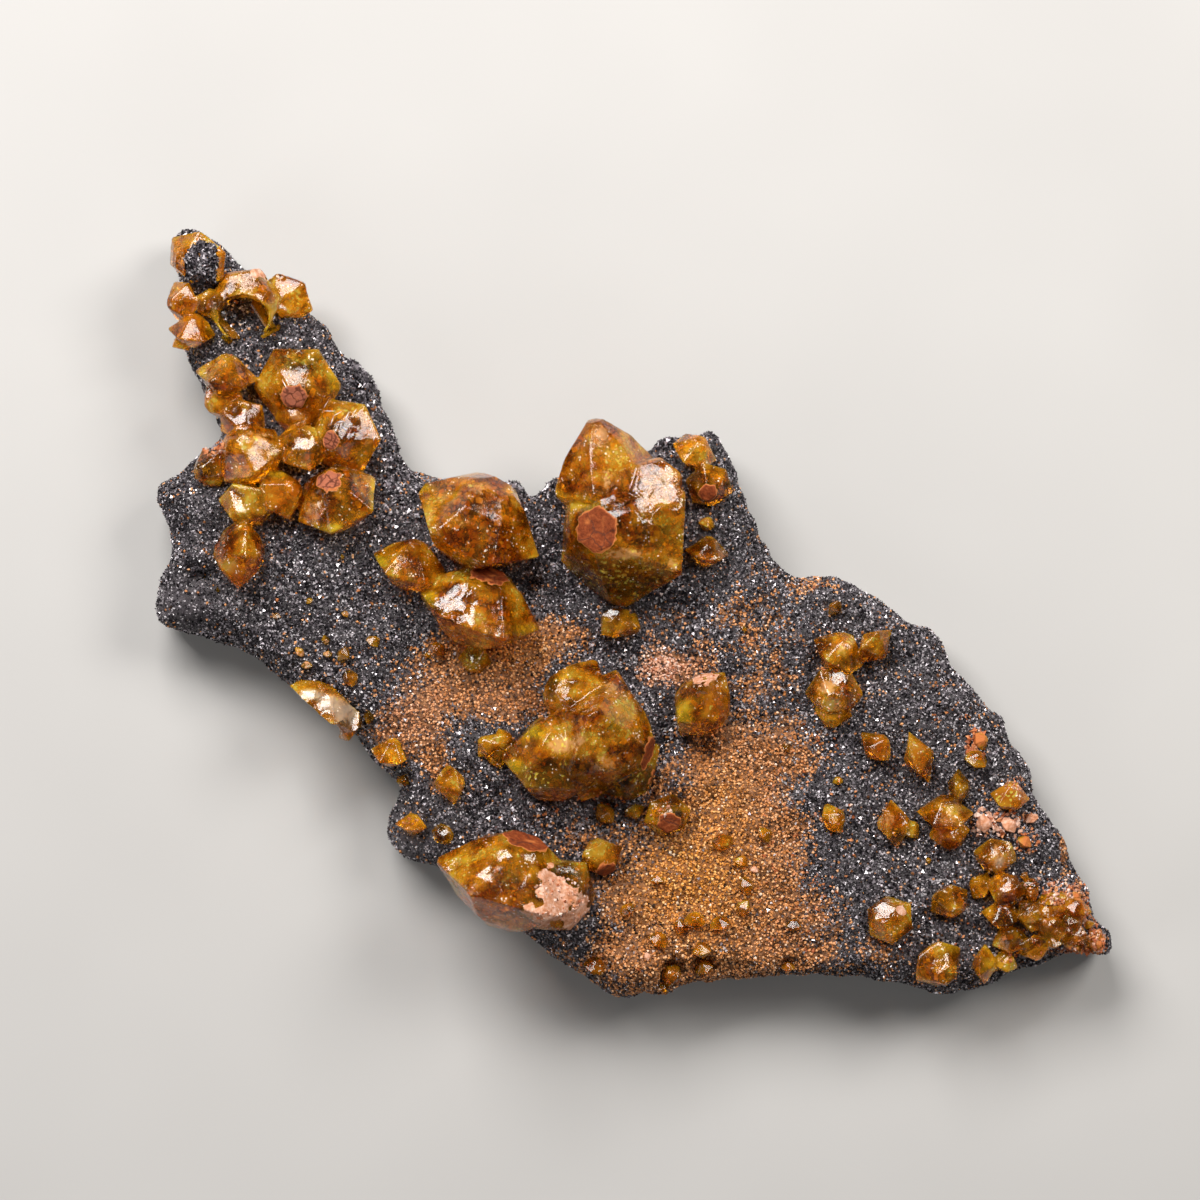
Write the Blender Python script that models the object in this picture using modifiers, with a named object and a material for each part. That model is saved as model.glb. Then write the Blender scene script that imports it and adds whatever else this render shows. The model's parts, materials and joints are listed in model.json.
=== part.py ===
"""Sturmanite crystals on a plate of dark manganese ore, lying on its back.

Metres, +Z up. +X runs along the plate, +Y towards its narrow arm. The origin is under
the middle of the specimen, on the surface that it rests on. Sizes and places below are
in millimetres and degrees, and MM turns them into metres.
"""

import math
import random
from collections import namedtuple

import bmesh
import bpy
import numpy as np
from mathutils import Matrix, Vector, noise
from mathutils.bvhtree import BVHTree

MM = 0.001

# The plate of matrix.
CROWN_HEIGHT = 9.6
ARM_HEIGHT = 7.4
CORNER_HEIGHT = 7.8
BACK_HOLLOW = 1.3
EDGE_WIDTH = 2.6
FRONT_EDGE_DROP = 2.6
BACK_EDGE_RISE = 2.4
VOXEL = 0.85
PLATE_FACES = 1900
FLAT_TOLERANCE = 0.12

# Swells and dips of the front: broad ones about 14 mm across, rough ones about 3 mm.
SWELL_SPAN = 14.0
SWELL_HEIGHT = 0.7
ROUGH_SPAN = 3.2
ROUGH_HEIGHT = 0.42
NOISE_SEED = 7

# Space that one solid keeps to the next.
CLEARANCE = 0.3

# Crystals over these radii have a second, gentler face above each pyramid face, and
# blunt corners round the girdle. Fullness swells the first pyramid to make room for it.
SHOULDERS_ABOVE = 3.7
CORNERS_ABOVE = 4.9
FULLNESS = 1.22
SHOULDER_REACH = 1.3

# The plate's edge, clockwise from the tip of the arm.
OUTLINE = [
    (-45.0, 38.9), (-43.2, 38.2), (-42.0, 37.3), (-41.0, 35.8), (-39.4, 34.4),
    (-37.0, 33.6), (-34.6, 31.8), (-32.9, 30.1), (-31.4, 29.5), (-30.7, 28.0),
    (-29.3, 25.8), (-27.9, 25.4), (-27.3, 24.0), (-26.6, 24.1), (-25.9, 22.2),
    (-25.3, 20.2), (-24.5, 18.1), (-23.8, 15.9), (-23.0, 14.3), (-20.9, 13.9),
    (-17.0, 13.2), (-13.0, 12.6), (-11.8, 13.2), (-11.0, 12.2), (-10.4, 11.3),
    (-9.0, 11.0), (-8.7, 12.7), (-8.2, 13.6), (-6.6, 13.9), (-3.0, 15.2),
    (0.5, 15.8), (2.4, 16.0), (3.0, 17.2), (5.0, 17.5), (6.8, 17.8),
    (7.7, 18.5), (8.4, 17.6), (9.4, 15.8), (10.3, 13.4), (11.2, 10.9),
    (12.0, 8.6), (12.9, 6.5), (14.2, 4.9), (16.2, 3.4), (18.2, 3.8),
    (20.6, 3.8), (22.8, 2.4), (25.0, 1.0), (27.4, -0.7), (30.0, -1.7),
    (31.0, -3.3), (31.9, -5.1), (33.7, -7.1), (35.0, -9.0), (37.0, -10.7),
    (38.4, -12.9), (39.7, -15.5), (40.5, -18.1), (42.1, -20.9), (43.7, -23.8),
    (44.7, -26.1), (46.0, -27.9), (46.3, -30.6), (48.3, -32.6), (48.2, -34.2),
    (45.4, -34.0), (42.7, -33.9), (40.9, -35.1), (38.6, -35.3), (36.6, -36.5),
    (34.2, -37.5), (32.4, -38.1), (30.2, -37.9), (28.0, -37.1), (24.2, -36.5),
    (22.4, -35.8), (20.6, -36.3), (16.6, -36.0), (12.4, -36.5), (9.8, -36.0),
    (7.8, -37.0), (5.4, -36.9), (3.8, -38.2), (0.4, -37.8), (-2.4, -38.3),
    (-3.6, -37.2), (-5.6, -35.5), (-8.2, -34.4), (-8.9, -32.8), (-12.2, -30.6),
    (-15.0, -28.0), (-18.2, -26.2), (-20.4, -25.2), (-22.8, -24.3), (-24.6, -23.1),
    (-24.3, -19.9), (-23.2, -18.7), (-23.1, -17.4), (-24.3, -15.7), (-26.2, -14.1),
    (-27.7, -12.1), (-29.6, -9.6), (-32.4, -8.2), (-34.6, -6.5), (-37.2, -4.6),
    (-39.6, -2.9), (-42.0, -1.9), (-45.4, -1.6), (-47.6, -0.8), (-47.9, 1.4),
    (-47.6, 3.8), (-46.2, 6.3), (-45.9, 7.8), (-46.6, 10.0), (-47.9, 12.1),
    (-46.8, 13.5), (-45.0, 14.5), (-43.6, 15.8), (-41.7, 16.9), (-41.0, 19.0),
    (-42.4, 21.0), (-43.6, 23.6), (-44.7, 26.2), (-45.4, 28.2), (-45.8, 31.0),
    (-45.3, 33.4), (-45.9, 35.2), (-46.0, 37.2),
]

# Lumps (up) and pits (down) of the front: place, radius, height.
RELIEF = [
    ((-43.0, 34.9), 2.1, 2.6),
    ((-38.9, 29.6), 2.6, 0.5),
    ((-46.0, 12.0), 3.2, 0.6),
    ((-45.2, 0.9), 4.4, -1.7),
    ((-44.1, 3.9), 1.2, -1.2),
    ((-44.6, 5.4), 2.2, 0.8),
    ((-26.4, 24.0), 1.6, 0.9),
    ((-28.0, 25.0), 1.5, 0.7),
    ((-11.8, 12.4), 1.5, 1.3),
    ((-8.6, 12.6), 1.4, 1.2),
    ((-10.4, 3.1), 1.3, -1.4),
    ((7.6, 17.6), 1.6, 1.1),
    ((3.6, 16.8), 1.5, 0.9),
    ((10.6, 8.8), 3.0, 0.6),
    ((19.5, 2.6), 3.4, 0.9),
    ((28.6, -3.4), 2.4, -0.6),
    ((30.2, -2.0), 2.2, 0.7),
    ((23.8, -6.6), 2.6, -0.5),
    ((-22.6, -22.2), 3.6, -1.6),
    ((-24.0, -16.4), 2.0, -0.8),
    ((-27.2, -12.6), 2.4, -1.6),
    ((6.4, -13.6), 1.4, -0.7),
    ((-2.6, -32.6), 1.4, -0.7),
    ((9.0, -28.0), 6.5, 0.7),
    ((17.4, -22.4), 3.4, -0.5),
    ((38.2, -21.2), 3.2, 0.8),
    ((43.6, -30.6), 3.4, 1.0),
]

# A crystal is a flat six-sided double pyramid. `at` is its girdle's centre in plan and
# `lift` how far that is above the plate. `flatness` is half its height over its radius,
# `azimuth` and `elevation` point its short axis, `roll` turns it about that axis, and
# `cap` is the radius of its blunt ends over the girdle's.
Crystal = namedtuple(
    "Crystal", "at lift radius flatness azimuth elevation roll cap", defaults=(0.25,)
)

# Crystals that have grown together are one solid.
CRYSTALS = {
    "crystal_tip": [Crystal((-43.5, 35.6), 0.3, 2.9, 0.70, 218, 52, 10, 0.30)],
    "crystal_group_tip": [
        Crystal((-45.1, 31.4), 1.6, 2.3, 0.75, 190, 40, 20),
        Crystal((-44.0, 28.5), 1.0, 2.6, 0.62, 85, 30, 0),
        Crystal((-45.1, 27.5), 2.2, 1.4, 0.70, 110, 35, 15),
        Crystal((-42.3, 31.2), 0.7, 1.6, 0.80, 300, 70, 0),
        Crystal((-38.9, 31.2), 0.9, 4.0, 0.60, 95, 66, 0, 0.60),
        Crystal((-37.6, 33.4), 3.4, 1.5, 0.75, 60, 40, 30),
        Crystal((-34.9, 31.9), 1.5, 3.0, 0.80, 235, 48, 14, 0.35),
    ],
    "crystal_group_arm": [
        Crystal((-40.5, 23.9), 2.0, 3.3, 0.62, 81, 20, 6),
        Crystal((-41.0, 21.7), 0.7, 2.8, 0.75, 215, 40, 0),
        Crystal((-39.0, 19.5), 1.3, 2.6, 0.70, 285, 48, 20, 0.42),
        Crystal((-33.5, 22.8), 1.8, 4.5, 0.66, 262, 70, 8, 0.27),
        Crystal((-38.2, 15.9), 1.9, 3.8, 0.82, 120, 38, 25),
        Crystal((-28.8, 17.9), 2.0, 4.2, 0.68, 205, 62, 0, 0.20),
        Crystal((-32.9, 16.8), 2.7, 2.8, 0.80, 60, 60, 15, 0.45),
        Crystal((-33.8, 19.9), 1.7, 2.1, 0.80, 280, 62, 0, 0.40),
        Crystal((-29.5, 11.5), 2.0, 4.6, 0.66, 112, 48, 10, 0.26),
        Crystal((-35.1, 12.1), 1.4, 2.9, 0.80, 20, 35, 0),
        Crystal((-38.5, 10.9), 1.4, 2.9, 0.70, 250, 45, 12, 0.35),
        Crystal((-42.2, 14.5), 0.6, 2.2, 0.75, 200, 48, 0, 0.35),
        Crystal((-39.2, 6.2), 0.9, 4.0, 0.62, 176, 16, 24, 0.18),
    ],
    "crystal_blade": [
        Crystal((-31.0, -8.4), 2.2, 3.7, 0.34, 64, 34, 8, 0.30),
        Crystal((-28.6, -10.6), 1.6, 2.3, 0.62, 168, 30, 28, 0.20),
    ],
    "crystal_group_middle": [
        Crystal((-15.4, 9.3), 1.4, 7.0, 0.66, 59, 30, 2, 0.24),
        Crystal((-22.1, 5.0), 1.2, 4.1, 0.62, 74, 24, 0, 0.20),
        Crystal((-15.4, 0.8), 1.6, 6.7, 0.55, 71, 22, 3, 0.30),
        Crystal((-15.8, -4.5), 0.3, 1.8, 0.80, 265, 55, 0, 0.3),
    ],
    "crystal_group_peak": [
        Crystal((-2.5, 13.3), 2.2, 5.7, 1.12, 103, 16, 12, 0.16),
        Crystal((-1.0, 8.6), 2.2, 8.1, 0.67, 186, 60, -10, 0.28),
        Crystal((1.6, 12.2), 3.4, 3.9, 0.80, 50, 66, 0, 0.60),
    ],
    "crystal_notch_pair": [
        Crystal((6.2, 16.3), 0.9, 2.4, 0.72, 60, 42, 16),
        Crystal((7.6, 12.9), 1.0, 2.5, 0.80, 255, 66, 0, 0.32),
    ],
    "crystal_beside_peak": [Crystal((7.4, 6.3), 0.6, 2.3, 0.66, 80, 22, 10, 0.2)],
    "crystal_glinting": [
        Crystal((-1.8, -0.8), 0.6, 1.9, 0.80, 130, 50, 0, 0.42),
        Crystal((-0.3, -1.0), 0.2, 1.4, 0.80, 330, 35, 10),
    ],
    "crystal_heart": [
        Crystal((-3.3, -12.1), 2.4, 7.1, 0.74, 341, 15, 12, 0.26),
        Crystal((-8.0, -14.3), 1.8, 5.2, 0.85, 84, 38, 4, 0.26),
        Crystal((-5.6, -8.2), 2.0, 4.1, 0.80, 150, 30, 10, 0.30),
        Crystal((-1.0, -15.1), 1.4, 4.2, 0.80, 300, 36, 0, 0.30),
        Crystal((-14.5, -13.0), 0.4, 1.6, 0.70, 140, 34, 0),
        Crystal((-12.9, -12.4), 0.6, 1.3, 0.74, 30, 40, 0),
        Crystal((-13.5, -14.3), 0.2, 1.3, 0.74, 280, 40, 0),
    ],
    "crystal_shaded": [Crystal((6.9, -8.9), 1.0, 4.0, 0.66, 322, 22, 12, 0.30)],
    "crystal_capped": [Crystal((3.4, -20.0), 0.9, 2.4, 0.80, 285, 66, 0, 0.44)],
    "crystal_long": [
        Crystal((-12.0, -26.4), 1.6, 8.1, 0.56, 73, 17, 4, 0.28),
        Crystal((-8.0, -27.8), 1.6, 4.7, 0.76, 300, 50, 20, 0.34),
    ],
    "crystal_beside_long": [Crystal((-3.2, -24.1), 0.8, 2.4, 0.72, 292, 36, 8, 0.4)],
    "crystal_inland": [Crystal((-18.2, -16.8), 0.6, 2.2, 0.68, 186, 28, 10)],
    "crystal_ledge": [Crystal((-22.0, -20.9), 0.4, 1.9, 0.56, 88, 18, 6)],
    "crystal_pale": [Crystal((-18.9, -21.8), 0.3, 1.3, 0.80, 80, 74, 0, 0.4)],
    "crystal_rim": [Crystal((-24.1, -13.7), 0.5, 2.2, 0.66, 84, 34, 0)],
    "crystal_trio": [
        Crystal((20.6, -3.7), 0.9, 2.9, 0.68, 56, 34, 14, 0.30),
        Crystal((24.1, -3.1), 0.8, 2.3, 0.66, 314, 26, 0, 0.20),
        Crystal((20.1, -7.8), 0.9, 3.0, 0.78, 262, 62, 8, 0.34),
        Crystal((20.0, -9.8), 0.5, 2.0, 0.70, 260, 40, 0, 0.34),
    ],
    "crystal_leaning": [Crystal((24.4, -13.2), 0.5, 2.1, 0.64, 44, 24, 10)],
    "crystal_spindle": [Crystal((28.6, -14.2), 0.5, 2.8, 0.52, 22, 18, 0, 0.16)],
    "crystal_east_edge": [Crystal((37.7, -18.1), 0.4, 2.1, 0.70, 82, 34, 0, 0.3)],
    "crystal_double": [
        Crystal((26.1, -20.9), 0.7, 2.5, 0.62, 8, 24, 0),
        Crystal((27.8, -21.4), 0.3, 1.3, 0.70, 40, 30, 0),
    ],
    "crystal_hooded": [
        Crystal((31.2, -19.8), 0.9, 2.9, 0.60, 88, 28, 0, 0.26),
        Crystal((31.6, -21.8), 0.5, 2.1, 0.72, 272, 46, 10, 0.42),
        Crystal((32.6, -17.1), 0.3, 1.9, 0.56, 2, 18, 0),
    ],
    "crystal_west_of_double": [Crystal((20.0, -20.3), 0.3, 1.8, 0.66, 30, 30, 0)],
    "crystal_bright_face": [Crystal((25.6, -30.4), 0.9, 2.7, 0.80, 128, 60, 0, 0.44)],
    "crystal_round": [Crystal((31.6, -28.6), 0.8, 2.2, 0.78, 292, 50, 12, 0.30)],
    "crystal_south": [Crystal((30.5, -34.9), 0.8, 2.8, 0.74, 306, 52, 0, 0.40)],
    "crystal_group_corner": [
        Crystal((36.3, -24.1), 0.6, 2.3, 0.76, 258, 56, 0, 0.32),
        Crystal((34.7, -27.1), 0.3, 1.6, 0.75, 150, 40, 0),
        Crystal((37.3, -27.3), 0.9, 2.0, 0.78, 70, 62, 10, 0.50),
        Crystal((39.8, -27.3), 0.3, 1.3, 0.75, 30, 50, 10),
        Crystal((36.9, -29.9), 0.7, 2.2, 0.62, 84, 30, 0),
        Crystal((37.8, -32.4), 0.5, 2.0, 0.72, 96, 44, 20),
        Crystal((39.9, -30.0), 0.8, 2.0, 0.74, 40, 44, 0),
        Crystal((40.3, -33.3), 0.3, 1.9, 0.70, 280, 40, 15),
        Crystal((42.0, -31.3), 0.7, 1.9, 0.76, 130, 50, 0, 0.35),
        Crystal((41.9, -28.9), 0.4, 1.7, 0.78, 70, 48, 20),
        Crystal((44.1, -29.9), 0.4, 1.8, 0.72, 20, 46, 0),
        Crystal((44.2, -32.4), 0.6, 1.7, 0.76, 200, 54, 10, 0.40),
        Crystal((46.3, -32.8), 0.2, 1.5, 0.74, 330, 40, 0),
        Crystal((35.2, -34.9), 0.4, 2.1, 0.56, 0, 20, 0),
        Crystal((37.2, -34.6), 0.2, 1.6, 0.70, 60, 40, 0),
    ],
}

# The broken crystal near the tip is a shell round a hollow: its place, radius and depth.
BROKEN_GROUP = "crystal_group_tip"
HOLLOW_AT = (-38.9, 29.7)
HOLLOW_RADIUS = 2.7
HOLLOW_REACH = 6.0

# Crystals too small to stand for themselves, fused to the plate: place, radius, azimuth.
SEEDLINGS = [
    ((-23.0, -16.6), 0.8, 80), ((-28.9, -4.0), 1.0, 335), ((-28.2, -6.3), 1.0, 20),
    ((-25.9, -2.6), 0.8, 60),
    ((-19.4, -3.4), 0.9, 40), ((7.4, 9.1), 1.0, 75), ((-2.8, -19.9), 1.3, 215),
    ((0.2, -19.6), 1.2, 285), ((20.2, 0.7), 1.0, 325), ((34.3, -14.4), 1.3, 70),
    ((34.8, -12.6), 1.3, 20), ((35.1, -20.9), 1.3, 10), ((37.6, -21.0), 1.3, 50),
    ((39.2, -22.7), 1.2, 60), ((40.0, -20.4), 0.8, 110), ((8.9, -22.6), 1.2, 280),
    ((13.2, -21.9), 1.0, 30), ((10.8, -24.6), 0.9, 70),
    ((11.3, -27.0), 1.1, 10), ((11.0, -29.2), 1.0, 160), ((6.2, -30.5), 1.2, 90),
    ((8.6, -30.7), 1.1, 110), ((4.7, -31.1), 0.9, 0), ((2.6, -32.4), 1.1, 60),
    ((6.9, -33.4), 1.1, 95), ((7.1, -35.3), 1.1, 120), ((3.9, -36.0), 1.3, 150),
    ((-3.8, -35.1), 1.3, 60), ((15.5, -35.2), 0.8, 90), ((16.0, -30.9), 0.9, 90),
    ((-0.6, -29.4), 0.9, 130), ((2.4, -26.4), 0.8, 90),
]
SEEDLING_FLATNESS = 0.66
SEEDLING_LEAN = 30
SEEDLING_LIFT = 0.25


def clear_scene():
    for obj in list(bpy.data.objects):
        bpy.data.objects.remove(obj, do_unlink=True)


def new_collection(name):
    collection = bpy.data.collections.new(name)
    bpy.context.scene.collection.children.link(collection)
    return collection


def new_material(name, colour, roughness, transmission=0.0):
    material = bpy.data.materials.new(name)
    material.use_nodes = True
    shader = material.node_tree.nodes["Principled BSDF"]
    shader.inputs["Base Color"].default_value = (*colour, 1.0)
    shader.inputs["Roughness"].default_value = roughness
    shader.inputs["Metallic"].default_value = 0.0
    shader.inputs["Transmission Weight"].default_value = transmission
    return material


def new_object(name, mesh, collection):
    obj = bpy.data.objects.new(name, mesh)
    collection.objects.link(obj)
    return obj


def evaluated_mesh(obj):
    """A copy of the object's mesh with its modifiers applied."""
    bpy.context.view_layer.update()
    graph = bpy.context.evaluated_depsgraph_get()
    return bpy.data.meshes.new_from_object(obj.evaluated_get(graph))


def apply_modifiers(obj):
    mesh = evaluated_mesh(obj)
    obj.modifiers.clear()
    obj.data = mesh


def combine(obj, other, operation):
    """Joins `other` to `obj` or cuts it away, and removes `other` when it is joined."""
    boolean = obj.modifiers.new(operation.lower(), "BOOLEAN")
    boolean.operation = operation
    boolean.solver = "EXACT"
    boolean.object = other
    apply_modifiers(obj)
    if operation == "UNION":
        bpy.data.objects.remove(other, do_unlink=True)


def distance_to_edge(points):
    """How far each point, in millimetres, lies from the plate's outline in plan."""
    start = np.array(OUTLINE)
    span = np.roll(start, -1, axis=0) - start
    offset = points[:, None, :2] - start
    along = (offset * span).sum(axis=2) / (span**2).sum(axis=1)
    nearest = offset - np.clip(along, 0, 1)[..., None] * span
    return np.sqrt((nearest**2).sum(axis=2)).min(axis=1)


def bump(x, y, centre, radius):
    """1 at the centre of a lump, falling smoothly to 0 at about twice its radius."""
    away = math.hypot(x - centre[0], y - centre[1]) / radius
    return math.exp(-away * away)


def front_height(x, y):
    """Height of the plate's front, away from its edge."""
    to_arm = min(max((y - 10) / 22, 0), 1)
    to_corner = min(max((x - 12) / 34, 0), 1)
    height = CROWN_HEIGHT
    height += (ARM_HEIGHT - CROWN_HEIGHT) * to_arm
    height += (CORNER_HEIGHT - CROWN_HEIGHT) * to_corner
    height += SWELL_HEIGHT * noise.noise(Vector((x, y, 4.0)) / SWELL_SPAN) * 2
    for centre, radius, rise in RELIEF:
        height += rise * bump(x, y, centre, radius)
    return height


def back_height(x, y):
    """Height of the back above the surface that the plate rests on."""
    hackle = noise.noise(Vector((x, y, 20.0)) / 9.0)
    under_arm = bump(x, y, (-40, 27), 12)
    return BACK_HOLLOW * (1.6 * hackle + 0.9 * under_arm) - 0.45


def plate_blank(collection):
    """The outline, extruded to a slab 1 mm thick and meshed evenly."""
    curve = bpy.data.curves.new("plate_outline", "CURVE")
    curve.dimensions = "2D"
    curve.fill_mode = "BOTH"
    curve.extrude = CROWN_HEIGHT * MM / 2
    spline = curve.splines.new("POLY")
    spline.points.add(len(OUTLINE) - 1)
    spline.use_cyclic_u = True
    for point, (x, y) in zip(spline.points, OUTLINE):
        point.co = (x * MM, y * MM, 0, 1)
    outline = new_object("plate_outline", curve, collection)
    plate = new_object("matrix", evaluated_mesh(outline), collection)
    bpy.data.objects.remove(outline, do_unlink=True)
    remesh = plate.modifiers.new("even mesh", "REMESH")
    remesh.mode = "VOXEL"
    remesh.voxel_size = VOXEL * MM
    apply_modifiers(plate)
    put_in_order(plate)
    return plate


def put_in_order(obj):
    """Lists the mesh's points and faces by place, so that every run gives one result."""
    mesh = obj.data
    points = [tuple(vertex.co) for vertex in mesh.vertices]
    order = sorted(range(len(points)), key=lambda k: points[k])
    rank = {old: new for new, old in enumerate(order)}
    faces = []
    for polygon in mesh.polygons:
        face = [rank[k] for k in polygon.vertices]
        turn = face.index(min(face))
        faces.append(face[turn:] + face[:turn])
    ordered = bpy.data.meshes.new(obj.name)
    ordered.from_pydata([points[k] for k in order], [], sorted(faces))
    obj.data = ordered


def sculpt_plate(plate):
    """Gives the even slab its front, its back and its broken edge."""
    mesh = plate.data
    points = np.empty(len(mesh.vertices) * 3)
    mesh.vertices.foreach_get("co", points)
    points = points.reshape(-1, 3) / MM
    depth = distance_to_edge(points)
    for point, inside in zip(points, depth):
        x, y, z = point
        share = z / CROWN_HEIGHT + 0.5
        near_edge = max(0.0, 1 - inside / EDGE_WIDTH) ** 2
        front = front_height(x, y) - FRONT_EDGE_DROP * near_edge
        back = back_height(x, y) + BACK_EDGE_RISE * near_edge
        height = back + (front - back) * min(max(share, 0), 1)
        where = Vector((x, y, height)) / ROUGH_SPAN
        push = noise.noise_vector(where) + 0.5 * noise.noise_vector(where * 2.3)
        point[0] += ROUGH_HEIGHT * push.x
        point[1] += ROUGH_HEIGHT * push.y
        point[2] = height + ROUGH_HEIGHT * push.z * 1.2
    points[:, 2] = np.where(points[:, 2] < FLAT_TOLERANCE, 0.0, points[:, 2])
    mesh.vertices.foreach_set("co", (points * MM).ravel())
    mesh.update()


def thin_plate_mesh(plate):
    """Keeps the faces where the surface turns, and few of them on the flat of the back."""
    flats = plate.modifiers.new("flats", "DECIMATE")
    flats.decimate_type = "DISSOLVE"
    flats.angle_limit = math.radians(0.5)
    even = plate.modifiers.new("triangles", "TRIANGULATE")
    even.min_vertices = 4
    apply_modifiers(plate)
    collapse = plate.modifiers.new("fewer faces", "DECIMATE")
    collapse.decimate_type = "COLLAPSE"
    collapse.ratio = min(1.0, PLATE_FACES / len(plate.data.polygons))
    apply_modifiers(plate)
    for vertex in plate.data.vertices:
        if vertex.co.z < FLAT_TOLERANCE * MM:
            vertex.co.z = 0.0


def raised_copy(plate, collection):
    """The plate grown by the clearance all over, to cut the crystals' feet to fit it."""
    cutter = new_object("plate_clearance", plate.data.copy(), collection)
    grow = cutter.modifiers.new("clearance", "DISPLACE")
    grow.mid_level = 0.0
    grow.strength = CLEARANCE * MM
    apply_modifiers(cutter)
    as_cutter(cutter)
    return cutter


def as_cutter(obj):
    obj.hide_render = True
    obj.display_type = "WIRE"


def hollow_cutter(collection):
    """A rounded pit that opens the broken crystal down to the plate."""
    bm = bmesh.new()
    bmesh.ops.create_icosphere(bm, subdivisions=2, radius=HOLLOW_RADIUS * MM)
    bmesh.ops.scale(bm, vec=(1.0, 0.86, HOLLOW_REACH / HOLLOW_RADIUS), verts=bm.verts)
    mesh = bpy.data.meshes.new("hollow")
    bm.to_mesh(mesh)
    bm.free()
    pit = new_object("hollow", mesh, collection)
    height = front_height(*HOLLOW_AT) + 2.0
    mesh.transform(Matrix.Translation(Vector((*HOLLOW_AT, height)) * MM))
    as_cutter(pit)
    return pit


def surface_tree(plate):
    bm = bmesh.new()
    bm.from_mesh(plate.data)
    tree = BVHTree.FromBMesh(bm)
    bm.free()
    return tree


def surface_height(tree, at):
    """Height of the plate's front at a place in plan."""
    start = Vector((at[0] * MM, at[1] * MM, 1.0))
    hit = tree.ray_cast(start, Vector((0, 0, -1)))[0]
    return hit.z / MM if hit else front_height(*at) - FRONT_EDGE_DROP


def cut_by_plane(bm, normal, distance):
    """Cuts off what lies beyond a plane and closes the cut with one flat face."""
    cut = bmesh.ops.bisect_plane(
        bm,
        geom=bm.verts[:] + bm.edges[:] + bm.faces[:],
        plane_co=normal * distance,
        plane_no=normal,
        clear_outer=True,
    )
    edges = [item for item in cut["geom_cut"] if isinstance(item, bmesh.types.BMEdge)]
    if edges:
        bmesh.ops.holes_fill(bm, edges=edges, sides=0)


def cut_cone_face(bm, azimuth, side, reach, height):
    """Cuts the face that slopes from `reach` at the girdle to `height` on the axis."""
    normal = Vector((math.cos(azimuth), math.sin(azimuth), side * reach / height))
    normal.normalize()
    cut_by_plane(bm, normal, reach * normal.xy.length)


def crystal_mesh(crystal, seed):
    """A double pyramid bounded by flat faces, each a little out of its ideal place."""
    chance = random.Random(seed)
    radius, cap = crystal.radius, crystal.cap
    apothem = radius * math.cos(math.radians(30))
    top = radius * crystal.flatness
    fullness = FULLNESS if radius > SHOULDERS_ABOVE else 1.0
    bm = bmesh.new()
    bmesh.ops.create_cube(bm, size=3 * max(radius, top))
    for side in (1, -1):
        for k in range(6):
            azimuth = math.radians(60 * k + chance.uniform(-4, 4))
            reach = apothem * chance.uniform(0.96, 1.05)
            height = fullness * top / (1 - cap) * chance.uniform(0.96, 1.04)
            cut_cone_face(bm, azimuth, side, reach, height)
            if radius > SHOULDERS_ABOVE:
                reach = SHOULDER_REACH * apothem * chance.uniform(0.95, 1.05)
                height = top * SHOULDER_REACH / (SHOULDER_REACH - cap)
                cut_cone_face(bm, azimuth, side, reach, height)
        end = Vector((chance.uniform(-0.05, 0.05), chance.uniform(-0.05, 0.05), side))
        if cap:
            cut_by_plane(bm, end.normalized(), top)
    if radius > CORNERS_ABOVE:
        for k in range(6):
            azimuth = math.radians(60 * k + 30 + chance.uniform(-5, 5))
            normal = Vector((math.cos(azimuth), math.sin(azimuth), 0))
            cut_by_plane(bm, normal, radius * chance.uniform(0.93, 0.99))
    bmesh.ops.scale(bm, vec=(MM, MM, MM), verts=bm.verts)
    bmesh.ops.recalc_face_normals(bm, faces=bm.faces)
    mesh = bpy.data.meshes.new("crystal")
    bm.to_mesh(mesh)
    bm.free()
    return mesh


def add_crystal(name, crystal, seed, tree, collection):
    """Makes a crystal, turns its short axis to its azimuth and elevation, and sets it."""
    mesh = crystal_mesh(crystal, seed)
    height = surface_height(tree, crystal.at) + crystal.lift
    lean = Matrix.Rotation(math.radians(90 - crystal.elevation), 4, "Y")
    turn = Matrix.Rotation(math.radians(crystal.azimuth), 4, "Z")
    spin = Matrix.Rotation(math.radians(crystal.roll), 4, "Z")
    place = Matrix.Translation(Vector((*crystal.at, height)) * MM)
    mesh.transform(place @ turn @ lean @ spin)
    return new_object(name, mesh, collection)


def add_crystal_group(name, crystals, tree, material, collection):
    """Joins crystals that have grown together into one solid."""
    group, *others = [
        add_crystal(name if not k else "joined", crystal, f"{name} {k}", tree, collection)
        for k, crystal in enumerate(crystals)
    ]
    for other in others:
        combine(group, other, "UNION")
    group.data.materials.clear()
    group.data.materials.append(material)
    return group


def fuse_seedlings(plate, tree, collection):
    """Joins the smallest crystals to the plate that they grow on."""
    for k, (at, radius, azimuth) in enumerate(SEEDLINGS):
        lift = SEEDLING_LIFT * radius
        crystal = Crystal(
            at, lift, radius, SEEDLING_FLATNESS, azimuth, SEEDLING_LEAN, 0, 0
        )
        seedling = add_crystal("seedling", crystal, f"seedling {k}", tree, collection)
        combine(plate, seedling, "UNION")


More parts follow.
